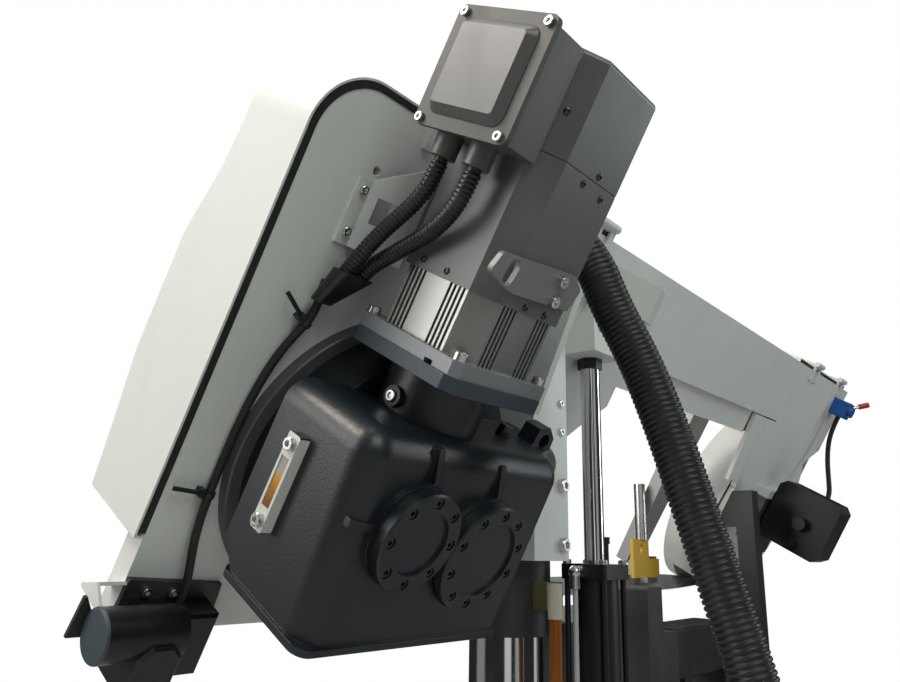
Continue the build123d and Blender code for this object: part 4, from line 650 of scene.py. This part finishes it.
def console_part(place, normal, side):
    return "screen" if side < SCREEN_SIDE else "box"


recoat("panel_brackets", {"folded": white_paint, "brush": dark_paint}, bracket_part)
recoat("brush_motor", {"body": black_paint, "end": flange_paint, "flap": rubber}, brush_motor_part)
recoat("valve_lever", {"shank": zinc, "tip": red_plastic}, lever_part)
recoat("arm_bracket", {"tag": yellow_paint, "pin": zinc}, guide_tag_part)
recoat("control_console", {"box": console_paint, "screen": screen_glass}, console_part)

# %% [markdown]
# ## One smooth line for each hose
# A hose or cable hangs in one smooth line between a few places where it is held. A NURBS curve with
# given points gives that line, and Blender turns the curve into a run of points which the tube
# then follows.

# %% Read a smooth line from a NURBS curve
def smooth_line(name, points):
    """Points along a NURBS curve through given control points."""
    curve = bpy.data.curves.new(name, "CURVE")
    curve.dimensions = "3D"
    spline = curve.splines.new("NURBS")
    spline.points.add(len(points) - 1)
    for control, place in zip(spline.points, points):
        control.co = (*place, 1)
    spline.order_u = 3
    spline.use_endpoint_u = True
    spline.resolution_u = 12
    holder = bpy.data.objects.new(name, curve)
    bpy.context.scene.collection.objects.link(holder)
    seen = holder.evaluated_get(bpy.context.evaluated_depsgraph_get())
    mesh = bpy.data.meshes.new_from_object(seen)
    line = [corner.co.copy() for corner in mesh.vertices]
    bpy.data.objects.remove(holder)
    print(name, "points:", len(line))
    return line


# %% [markdown]
# ## A tree for ribbed tubes
# The big hose and the two motor conduits are corrugated: rings of equal pitch stand up from a thin
# wall. Geometry Nodes sweep a circle along the line, and its scale rises and falls once per rib.
# The number of rings along the tube is a whole number for each rib, so that every rib looks alike.
# With one rib and equal crest and valley, the same tree makes a plain cable.

# %% Geometry Nodes with named inputs
def geometry_tree(name, inputs):
    """An empty tree with its input wires, and the identifiers of its inputs."""
    tree = bpy.data.node_groups.new(name, "GeometryNodeTree")
    tree.interface.new_socket("Geometry", in_out="INPUT", socket_type="NodeSocketGeometry")
    ids = {}
    for label, kind in inputs.items():
        ids[label] = tree.interface.new_socket(label, in_out="INPUT", socket_type=kind).identifier
    tree.interface.new_socket("Geometry", in_out="OUTPUT", socket_type="NodeSocketGeometry")
    wiring = Wiring(tree)
    start = tree.nodes.new("NodeGroupInput")
    wires = {label: Wire(wiring, start.outputs[label]) for label in ["Geometry", *inputs]}
    return wiring, wires, ids


def grown(name, mesh, tree, values):
    """Plain mesh object that a tree makes from a base mesh, with its inputs set first."""
    piece = bpy.data.objects.new(name, mesh)
    bpy.context.scene.collection.objects.link(piece)
    modifier = piece.modifiers.new("shape", "NODES")
    modifier.node_group = tree
    for identifier, value in values.items():
        modifier[identifier] = value
    seen = piece.evaluated_get(bpy.context.evaluated_depsgraph_get())
    result = bpy.data.meshes.new_from_object(seen)
    piece.modifiers.remove(modifier)
    piece.data = result
    result.name = name
    print(name, "faces:", len(result.polygons))
    return piece


# %% The tube tree
tube, tube_in, tube_ids = geometry_tree(
    "ribbed_tube",
    {
        "Crest": "NodeSocketFloat",
        "Valley": "NodeSocketFloat",
        "Ribs": "NodeSocketFloat",
        "Plain Ribs": "NodeSocketFloat",
        "Rings": "NodeSocketInt",
        "Sides": "NodeSocketInt",
        "Finish": "NodeSocketMaterial",
    },
)
run = tube.node("GeometryNodeMeshToCurve", {}, {"Mesh": tube_in["Geometry"]})
run = tube.node("GeometryNodeResampleCurve", {}, {"Curve": run, "Count": tube_in["Rings"]})
share = tube.node("GeometryNodeSplineParameter", {}, {}, "Factor")
count = share * (tube_in["Ribs"] + 2 * tube_in["Plain Ribs"])
first_rib = tube_in["Plain Ribs"]
inside = (count > first_rib - 0.01) * (count < first_rib + tube_in["Ribs"] + 0.01)
part_of_rib = (count + 0.0001) % 1.0
hump = (4 * part_of_rib * (1 - part_of_rib)) ** 0.6
radius = tube_in["Valley"] + (tube_in["Crest"] - tube_in["Valley"]) * hump * inside
section = tube.node(
    "GeometryNodeCurvePrimitiveCircle", {}, {"Resolution": tube_in["Sides"], "Radius": 1.0}
)
sweep = {"Curve": run, "Profile Curve": section, "Scale": radius, "Fill Caps": True}
skin = tube.node("GeometryNodeCurveToMesh", {}, sweep)
skin = tube.node("GeometryNodeSetShadeSmooth", {}, {"Geometry": skin, "Shade Smooth": True})
skin = tube.node("GeometryNodeRealizeInstances", {}, {"Geometry": skin})
skin = tube.node("GeometryNodeSetMaterial", {}, {"Geometry": skin, "Material": tube_in["Finish"]})
tube.node("NodeGroupOutput", {}, {"Geometry": skin})
print("tube tree nodes:", len(tube.tree.nodes))

# %% A hose or cable from its given points
RINGS_PER_RIB = 6


def hose(name, points, crest, valley, ribs, plain, sides, finish):
    """Tube along a smooth line, with its line. Radii are metres, and plain ends count in ribs."""
    line = smooth_line(name + "_line", points)
    mesh = bpy.data.meshes.new(name + "_line")
    mesh.from_pydata(line, [(i, i + 1) for i in range(len(line) - 1)], [])
    values = {
        "Crest": crest,
        "Valley": valley,
        "Ribs": float(ribs),
        "Plain Ribs": float(plain),
        "Rings": RINGS_PER_RIB * (ribs + 2 * plain) + 1,
        "Sides": sides,
        "Finish": finish,
    }
    piece = grown(name, mesh, tube.tree, {tube_ids[label]: value for label, value in values.items()})
    length = sum((b - a).length for a, b in zip(line, line[1:]))
    print(name, "length:", round(length, 3))
    return piece, line, length


# %% [markdown]
# ## The big hose
# A black corrugated hose carries all wires of the saw frame down to the base. It leaves the beam at
# its root, turns over and hangs in a long bow. Its upper end moves with the saw frame and its lower
# end stays in the base.

# %% Big hose
HOSE_POINTS = [
    (-0.609, -0.2336, 1.5393),
    (-0.609, -0.2804, 1.5123),
    (-0.605, -0.3170, 1.4658),
    (-0.598, -0.3346, 1.4083),
    (-0.587, -0.359, 1.350),
    (-0.584, -0.378, 1.296),
    (-0.581, -0.395, 1.240),
    (-0.579, -0.411, 1.183),
    (-0.576, -0.427, 1.127),
    (-0.572, -0.443, 1.069),
    (-0.568, -0.458, 1.010),
    (-0.562, -0.474, 0.950),
    (-0.555, -0.490, 0.888),
    (-0.544, -0.505, 0.826),
    (-0.530, -0.515, 0.762),
    (-0.522, -0.507, 0.691),
    (-0.518, -0.483, 0.631),
    (-0.516, -0.437, 0.585),
    (-0.516, -0.377, 0.560),
    (-0.516, -0.312, 0.560),
]
HOSE_D = 0.047
HOSE_VALLEY_R = 0.0208
HOSE_RIBS = 190
HOSE_SIDES = 28
big_hose, hose_line, hose_length = hose(
    "big_hose", HOSE_POINTS, HOSE_D / 2, HOSE_VALLEY_R, HOSE_RIBS, 2, HOSE_SIDES, hose_plastic
)
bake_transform(big_hose)
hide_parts("main_hose")

# %% [markdown]
# ## Motor conduits, plate cable and valve hose
# Two thin corrugated conduits run from the terminal box into one sleeve on the back plate. A plain
# black cable goes on from the sleeve along the plate to the brush motor. At the far end of the saw
# frame a short hose joins the blue valve to the tension unit. All of them move with the saw frame.

# %% Conduits and cables
CORD_SIDES = 16


def head_cord(name, points, diameter, depth, ribs, finish, node):
    """Cord that is fixed to the saw frame at both ends, its points in saw frame millimetres."""
    route = [on_head(*point) for point in points]
    crest = diameter / 2
    piece, line, length = hose(name, route, crest, crest - depth, ribs, 1, CORD_SIDES, finish)
    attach(piece, "head")
    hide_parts(node)


CONDUIT_A = [
    (-150, 346, 84),
    (-150, 321, 84),
    (-151.5, 297, 76),
    (-154, 272, 61),
    (-156, 247, 47),
    (-157, 222, 36.7),
    (-157, 197, 25),
]
CONDUIT_B = [
    (-148, 346, 128),
    (-148, 321.5, 128),
    (-145, 299, 119.5),
    (-142, 279, 104),
    (-140, 260.5, 81.5),
    (-138.5, 241, 59),
    (-137.5, 222, 36.7),
    (-137.5, 197, 25),
]
PLATE_CABLE = [
    (-158, 172, 10),
    (-158, 153, 10),
    (-166, 134, 9),
    (-176, 110, 8),
    (-183.5, 80, 8),
    (-188, 45, 8),
    (-189.5, 5, 8),
    (-189, -35, 8),
    (-187.5, -72, 8),
    (-184, -102, 8.5),
    (-179.5, -128, 12),
    (-177, -151, 17.5),
    (-177, -174, 17.5),
]
VALVE_HOSE = [
    (1578, 312, 22),
    (1578, 276, 22),
    (1584, 236, 28),
    (1580, 194, 46),
    (1560, 156, 72),
    (1526, 126, 98),
    (1484, 104, 112),
    (1436, 104, 112),
]
CONDUIT_D = 0.017
RIB_DEPTH = 0.0018
head_cord("conduit_a", CONDUIT_A, CONDUIT_D, RIB_DEPTH, 34, hose_plastic, "motor_conduits")
head_cord("conduit_b", CONDUIT_B, CONDUIT_D, RIB_DEPTH, 40, hose_plastic, "motor_conduits")
head_cord("plate_cable", PLATE_CABLE, 0.009, 0, 30, rubber, "head_cables")
head_cord("valve_hose", VALVE_HOSE, 0.012, 0, 30, rubber, "head_cables")

# %% [markdown]
# ## A tree that stamps one shape on many places
# Saw teeth, brush bristles, small screws and the ladder of a cable tie are all one shape set many
# times. Each place is a point that knows which way is out and which way is along. Geometry Nodes
# turn the shape to those two directions and join all copies into one mesh, so one tree does for all.

# %% The stamp tree
stamp, stamp_in, stamp_ids = geometry_tree(
    "stamps", {"Shape": "NodeSocketObject", "Finish": "NodeSocketMaterial"}
)
arrow = {"data_type": "FLOAT_VECTOR"}
out_way = stamp.node("GeometryNodeInputNamedAttribute", arrow, {"Name": "out"})
along_way = stamp.node("GeometryNodeInputNamedAttribute", arrow, {"Name": "along"})
facing = stamp.node(
    "FunctionNodeAxesToRotation", {}, {"Primary Axis": out_way, "Secondary Axis": along_way}
)
pattern = stamp.node("GeometryNodeObjectInfo", {}, {"Object": stamp_in["Shape"]}, "Geometry")
copies = stamp.node(
    "GeometryNodeInstanceOnPoints",
    {},
    {"Points": stamp_in["Geometry"], "Instance": pattern, "Rotation": facing},
)
copies = stamp.node("GeometryNodeRealizeInstances", {}, {"Geometry": copies})
copies = stamp.node(
    "GeometryNodeSetMaterial", {}, {"Geometry": copies, "Material": stamp_in["Finish"]}
)
stamp.node("NodeGroupOutput", {}, {"Geometry": copies})


def stamped(name, shape, places, finish, body):
    """One mesh of a shape at many (place, out, along), riding on a body. The shape is used up."""
    mesh = bpy.data.meshes.new(name + "_places")
    mesh.from_pydata([place for place, out, along in places], [], [])
    for label, index in (("out", 1), ("along", 2)):
        ways = mesh.attributes.new(label, "FLOAT_VECTOR", "POINT")
        ways.data.foreach_set("vector", [c for place in places for c in place[index]])
    pattern_object = bpy.data.objects.new(name + "_shape", shape)
    bpy.context.scene.collection.objects.link(pattern_object)
    values = {stamp_ids["Shape"]: pattern_object, stamp_ids["Finish"]: finish}
    piece = grown(name, mesh, stamp.tree, values)
    bpy.data.objects.remove(pattern_object)
    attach(piece, body)
    return piece


print("stamp tree nodes:", len(stamp.tree.nodes))

# %% [markdown]
# ## Teeth of the blade
# The blade runs flat round both wheels and is twisted upright between its guides, so that its toothed
# edge points at the table. A tooth is a small wedge with a steep cutting face. The places follow the
# loop by its length, and the direction of the teeth turns with the blade.

# %% Blade teeth
WHEEL_SPAN = 1402
BLADE_R = 210.85
BLADE_MIDDLE_N = -40
BLADE_WIDTH = 34
BLADE_THICK = 1.1
TWIST = math.radians(60)
TWIST_IN = (90, 330)
TWIST_OUT = (1090, 1312)
TOOTH_PITCH = 8
TOOTH_LENGTH = 6.4
TOOTH_HEIGHT = 2.0
TOOTH_ROOT = -0.4


def blade_place(travel):
    """Middle of the toothed edge, out of it and along it, at a distance round the loop in mm."""
    arc = math.pi * BLADE_R
    if travel < WHEEL_SPAN:
        x = travel
        turn_in = (x - TWIST_IN[0]) / (TWIST_IN[1] - TWIST_IN[0])
        turn_out = (TWIST_OUT[1] - x) / (TWIST_OUT[1] - TWIST_OUT[0])
        angle = math.pi / 2 - LEAN - TWIST * max(0, min(1, turn_in, turn_out))
        out = Vector((0, -math.sin(angle), -math.cos(angle)))
        middle = on_head(x, -BLADE_R, BLADE_MIDDLE_N)
        return middle + out * BLADE_WIDTH / 2000, out, -ALONG
    travel -= WHEEL_SPAN
    edge_n = BLADE_MIDDLE_N + BLADE_WIDTH / 2
    if travel < arc:
        angle = travel / BLADE_R - math.pi / 2
        x, u = WHEEL_SPAN + BLADE_R * math.cos(angle), BLADE_R * math.sin(angle)
        along = ALONG * -math.sin(angle) + UP_SLOPE * math.cos(angle)
        return on_head(x, u, edge_n), OUT_BACK, -along
    travel -= arc
    if travel < WHEEL_SPAN:
        return on_head(WHEEL_SPAN - travel, BLADE_R, edge_n), OUT_BACK, ALONG
    angle = (travel - WHEEL_SPAN) / BLADE_R + math.pi / 2
    along = ALONG * -math.sin(angle) + UP_SLOPE * math.cos(angle)
    x, u = BLADE_R * math.cos(angle), BLADE_R * math.sin(angle)
    return on_head(x, u, edge_n), OUT_BACK, -along


def wedge(length, height, thick):
    """Saw tooth: steep cutting face, sloping back, with its root a little inside the blade."""
    side = [
        (-length / 2, TOOTH_ROOT),
        (length / 2, TOOTH_ROOT),
        (length / 2 - 0.4, height),
        (length / 4, height * 0.6),
    ]
    mesh = bmesh.new()
    faces = []
    for y in (-thick / 2, thick / 2):
        faces.append([mesh.verts.new((x / 1000, y / 1000, z / 1000)) for x, z in side])
    mesh.faces.new(faces[0])
    mesh.faces.new(faces[1][::-1])
    for i in range(len(side)):
        j = (i + 1) % len(side)
        mesh.faces.new((faces[0][j], faces[0][i], faces[1][i], faces[1][j]))
    bmesh.ops.recalc_face_normals(mesh, faces=mesh.faces)
    tooth = bpy.data.meshes.new("tooth")
    mesh.to_mesh(tooth)
    mesh.free()
    return tooth


loop_length = 2 * WHEEL_SPAN + 2 * math.pi * BLADE_R
tooth_count = round(loop_length / TOOTH_PITCH)
teeth = [blade_place(i * loop_length / tooth_count) for i in range(tooth_count)]
tooth = wedge(TOOTH_LENGTH, TOOTH_HEIGHT, BLADE_THICK * 0.96)
stamped("blade_teeth", tooth, teeth, blade_steel, "head")
print("teeth:", tooth_count)

# %% [markdown]
# ## The chip brush
# A small wire brush sweeps chips out of the teeth. As a solid it is a plain drum. Here it gets a
# turned hub with two flanges and rows of wire bristles with a brass finish, each leaning a little its
# own way. The leans are random with a fixed seed, so every run gives the same brush.

# %% Brush hub
BRUSH = (-160, -202)
BRUSH_R = 45.7
BRUSH_N = (-36, -14.5)


def turned(name, profile, sides, origin, out, along):
    """Closed turned part from (radius, height) points in mm, its axis along out."""
    across = out.cross(along)
    mesh = bmesh.new()
    rows = []
    for i in range(sides):
        angle = 2 * math.pi * i / sides
        ray = along * math.cos(angle) + across * math.sin(angle)
        rows.append([mesh.verts.new(origin + (ray * r + out * h) / 1000) for r, h in profile])
    for i in range(sides):
        row, following = rows[i], rows[(i + 1) % sides]
        for k in range(len(profile) - 1):
            mesh.faces.new((row[k], following[k], following[k + 1], row[k + 1]))
    mesh.faces.new([row[0] for row in rows])
    mesh.faces.new([row[-1] for row in rows])
    bmesh.ops.recalc_face_normals(mesh, faces=mesh.faces)
    for face in mesh.faces:
        face.smooth = True
    made = bpy.data.meshes.new(name)
    mesh.to_mesh(made)
    mesh.free()
    made.set_sharp_from_angle(angle=math.radians(30))
    return made


def turned_shape(name, profile, sides):
    """Turned part for stamping, with its foot at the origin and its axis upright."""
    return turned(name, profile, sides, Vector(), Vector((0, 0, 1)), Vector((1, 0, 0)))


HUB = [(8, -40), (8, -37), (14, -36), (24, -35.5), (24, -33.5), (18, -33)]
HUB += [(18, -17.5), (24, -17), (24, -15), (12, -14.6), (8, -13), (8, 22)]
hub_mesh = turned("brush_hub", HUB, 40, on_head(*BRUSH, 0), OUT_BACK, ALONG)
hub_mesh.materials.append(steel)
brush_hub = bpy.data.objects.new("brush_hub", hub_mesh)
bpy.context.scene.collection.objects.link(brush_hub)
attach(brush_hub, "brush")
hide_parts("brush_wheel")
print("brush hub faces:", len(hub_mesh.polygons))

# %% Brush bristles
BRISTLE_ROWS = 9
BRISTLES_IN_ROW = 44
BRISTLE_ROOT = 17.0
BRISTLE = [(0.42, 0), (0.38, 14), (0.30, BRUSH_R - BRISTLE_ROOT - 0.6)]
bristle = turned_shape("bristle", BRISTLE, 4)
chance = random.Random(7)
bristles = []
for row in range(BRISTLE_ROWS):
    n = BRUSH_N[0] + 3.4 + row * (BRUSH_N[1] - BRUSH_N[0] - 6.4) / (BRISTLE_ROWS - 1)
    for i in range(BRISTLES_IN_ROW):
        angle = 2 * math.pi * (i + row % 2 / 2) / BRISTLES_IN_ROW
        ray = ALONG * math.cos(angle) + UP_SLOPE * math.sin(angle)
        side = ALONG * -math.sin(angle) + UP_SLOPE * math.cos(angle)
        lean = side * chance.uniform(-0.10, 0.10) + OUT_BACK * chance.uniform(-0.06, 0.06)
        root = on_head(*BRUSH, n) + ray * BRISTLE_ROOT / 1000
        bristles.append((root, (ray + lean).normalized(), OUT_BACK))
brush_bristles = stamped("brush_bristles", bristle, bristles, brass, "brush")
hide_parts("brush_wheel")

# %% [markdown]
# ## Small screws of the motor cowl
# The sheet cowl is held by small dark button-head screws with a hexagon socket. They are a few
# millimetres across, too small for their own solids, yet the photograph shows each one. The shape is
# turned once and stamped on the faces of the cowl that carry screws, and on one slanting corner.

# %% Cowl screws
BUTTON = [(3.6, -0.3), (3.6, 0.5), (3.1, 1.4), (2.2, 1.9), (1.5, 2.0), (1.4, 0.9)]
button = turned_shape("button", BUTTON, 12)
COWL_BACK_N = 185
COWL_SIDE_X = -125
BACK_SCREWS = [(-47.8, 390.8), (-66.1, 376.5), (-30.8, 373.5), (-68.7, 248.8), (-35.5, 249.1)]
SIDE_SCREWS = [(252.2, 91.2), (250.8, 125.9)]
CORNER_SCREW = (-114.4, 425, 171.6)
cowl_screws = [(on_head(x, u, COWL_BACK_N), OUT_BACK, ALONG) for x, u in BACK_SCREWS]
cowl_screws += [(on_head(COWL_SIDE_X, u, n), -ALONG, UP_SLOPE) for u, n in SIDE_SCREWS]
cowl_screws.append((on_head(*CORNER_SCREW), (OUT_BACK - ALONG).normalized(), UP_SLOPE))
stamped("cowl_screws", button, cowl_screws, dark_zinc, "head")

# %% [markdown]
# ## Ladders of the cable ties
# The loose tail of a cable tie is a ladder of fine steps that its head locks on. The solid tail is
# smooth, so small ridges are stamped along it, one every one and a half millimetres.

# %% Tie ladders
TIES = [((-162, 143.5, 9.5), (-197, 168)), ((-188.25, -53.5, 8), (-230, -50))]
LADDER_STEP = 1.5
TAIL_HALF = 0.8
LADDER_START = 13
LADDER_END = 6
ridge = turned_shape("ridge", [(1.9, -0.1), (1.9, 0.05), (1.5, 0.3)], 4)
ladder = []
for (x, u, n), (tail_x, tail_u) in TIES:
    run_x, run_u = tail_x - x, tail_u - u
    tail = math.hypot(run_x, run_u)
    way = (ALONG * run_x + UP_SLOPE * run_u).normalized()
    for i in range(int((tail - LADDER_END - LADDER_START) / LADDER_STEP)):
        part = (LADDER_START + i * LADDER_STEP) / tail
        place = on_head(x + run_x * part, u + run_u * part, n + TAIL_HALF)
        ladder.append((place, OUT_BACK, way))
stamped("tie_ladders", ridge, ladder, black_plastic, "head")

# %% [markdown]
# ## Ridges of the feed knob
# The knob that sets the feed rate has a grip of small upright ridges round its rim, so that an oily
# hand can turn it. They are stamped in a ring round the solid knob and turn with it.

# %% Knob ridges
knob_low, knob_high = (Vector(corner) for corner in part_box("feed_knob"))
knob_middle = (knob_low + knob_high) / 2
KNOB_R = 0.020
KNOB_RIM_Y = 0.4215
RIDGES = 36
grip = turned_shape("grip", [(0.9, 0), (0.9, 14.5), (0.5, 15.5)], 6)
grips = []
for i in range(RIDGES):
    angle = 2 * math.pi * i / RIDGES
    x = knob_middle.x + KNOB_R * math.cos(angle)
    z = knob_middle.z + KNOB_R * math.sin(angle)
    grips.append((Vector((x, KNOB_RIM_Y, z)), Vector((0, 1, 0)), ALONG))
stamped("knob_ridges", grip, grips, black_plastic, "knob")

# %% [markdown]
# ## Floor and studio light
# A pale floor carries the saw and the background is plain white. One large softbox stands to the left
# of the drive end and gives the white cover its brightness. The leaning back plate faces down and away
# from it, so that side is filled from behind the camera, and the console side from the front. A small
# warm softbox, high on the left, puts the sheen on the rounded edges of the gearbox. The world lights
# everything a little and shows as white. Its upright bright bands are what the chromed column and rod
# reflect as stripes.

# %% Floor
floor_mesh = bpy.data.meshes.new("floor")
FLOOR_R = 4.5
floor_form = bmesh.new()
bmesh.ops.create_circle(floor_form, cap_ends=True, segments=96, radius=FLOOR_R)
floor_form.to_mesh(floor_mesh)
floor_form.free()
floor_finish = Finish("floor_finish")
cloud = floor_finish.noise(1.5, 4)
floor_shade = floor_finish.mix(cloud, (0.50, 0.50, 0.49), (0.55, 0.55, 0.54))
floor_finish.shade(Base_Color=floor_shade, Roughness=0.62 + cloud * 0.1)
floor_mesh.materials.append(floor_finish.material)
floor = bpy.data.objects.new("floor", floor_mesh)
bpy.context.scene.collection.objects.link(floor)
print("floor radius:", FLOOR_R)

# %% Softboxes
def softbox(name, place, aim, width, height, power, colour):
    """Area light that looks at a place."""
    light = bpy.data.lights.new(name, "AREA")
    light.shape = "RECTANGLE"
    light.size = width
    light.size_y = height
    light.energy = power
    light.color = colour
    lamp = bpy.data.objects.new(name, light)
    lamp.location = place
    lamp.rotation_euler = (Vector(aim) - Vector(place)).to_track_quat("-Z", "Y").to_euler()
    bpy.context.scene.collection.objects.link(lamp)


DRIVE_END = (-0.7, -0.1, 1.35)
softbox("key_left", (-4.2, 1.9, 2.9), DRIVE_END, 2.6, 2.6, 104, (1.0, 0.98, 0.95))
softbox("fill_back", (-2.0, -3.2, 3.6), DRIVE_END, 2.0, 2.0, 62, (0.91, 1.0, 0.95))
softbox("fill_right", (3.0, -3.0, 2.4), (0, -0.1, 1.2), 0.6, 2.6, 36, (0.92, 0.97, 1.0))
softbox("top", (-0.4, 0.3, 4.6), (-0.4, -0.1, 1.2), 3.0, 3.0, 62, (1.0, 0.98, 0.95))
softbox("sheen", (-1.75, 0.34, 2.75), (-0.87, -0.18, 1.27), 0.5, 0.5, 18, (1.0, 0.92, 0.84))
softbox("fill_front", (1.8, 3.4, 3.2), (0.2, 0.2, 0.7), 2.2, 2.2, 80, (1.0, 1.0, 0.98))
print("softboxes:", len(bpy.data.lights))

# %% World
# Each band: direction and half width in degrees, and strength.
WALL_BANDS = [(130, 20, 0.22), (-141, 12, 0.55), (-106, 16, 0.30), (-44, 12, 0.50)]
scene = bpy.context.scene
scene.world = bpy.data.worlds.new("studio")
scene.world.use_nodes = True
sky = Wiring(scene.world.node_tree)
seen_by_camera = sky.node("ShaderNodeLightPath", {}, {}, "Is Camera Ray")
way_up = sky.node("ShaderNodeTexCoord", {}, {}, "Generated")
side_x, side_y, rise = [sky.node("ShaderNodeSeparateXYZ", {}, {0: way_up}, i) for i in range(3)]
turn = sky.node("ShaderNodeMath", {"operation": "ARCTAN2"}, {0: side_y, 1: side_x})
glow = 0.022 + 0.02 * rise
above = sky.node("ShaderNodeMath", {"operation": "ABSOLUTE"}, {0: rise - 0.04})
level_band = 1 - sky.band(above, 0.16, 0.34)
for angle, half, power in WALL_BANDS:
    off = sky.node("ShaderNodeMath", {"operation": "ABSOLUTE"}, {0: turn - math.radians(angle)})
    beside = sky.band(off, math.radians(half * 0.6), math.radians(half))
    glow = glow + power * level_band * (1 - beside)
brightness = seen_by_camera + (1 - seen_by_camera) * glow
background = scene.world.node_tree.nodes["Background"]
background.inputs["Color"].default_value = (1, 1, 1, 1)
scene.world.node_tree.links.new(brightness.socket, background.inputs["Strength"])
scene.view_settings.view_transform = "Standard"
print("wall bands:", len(WALL_BANDS))
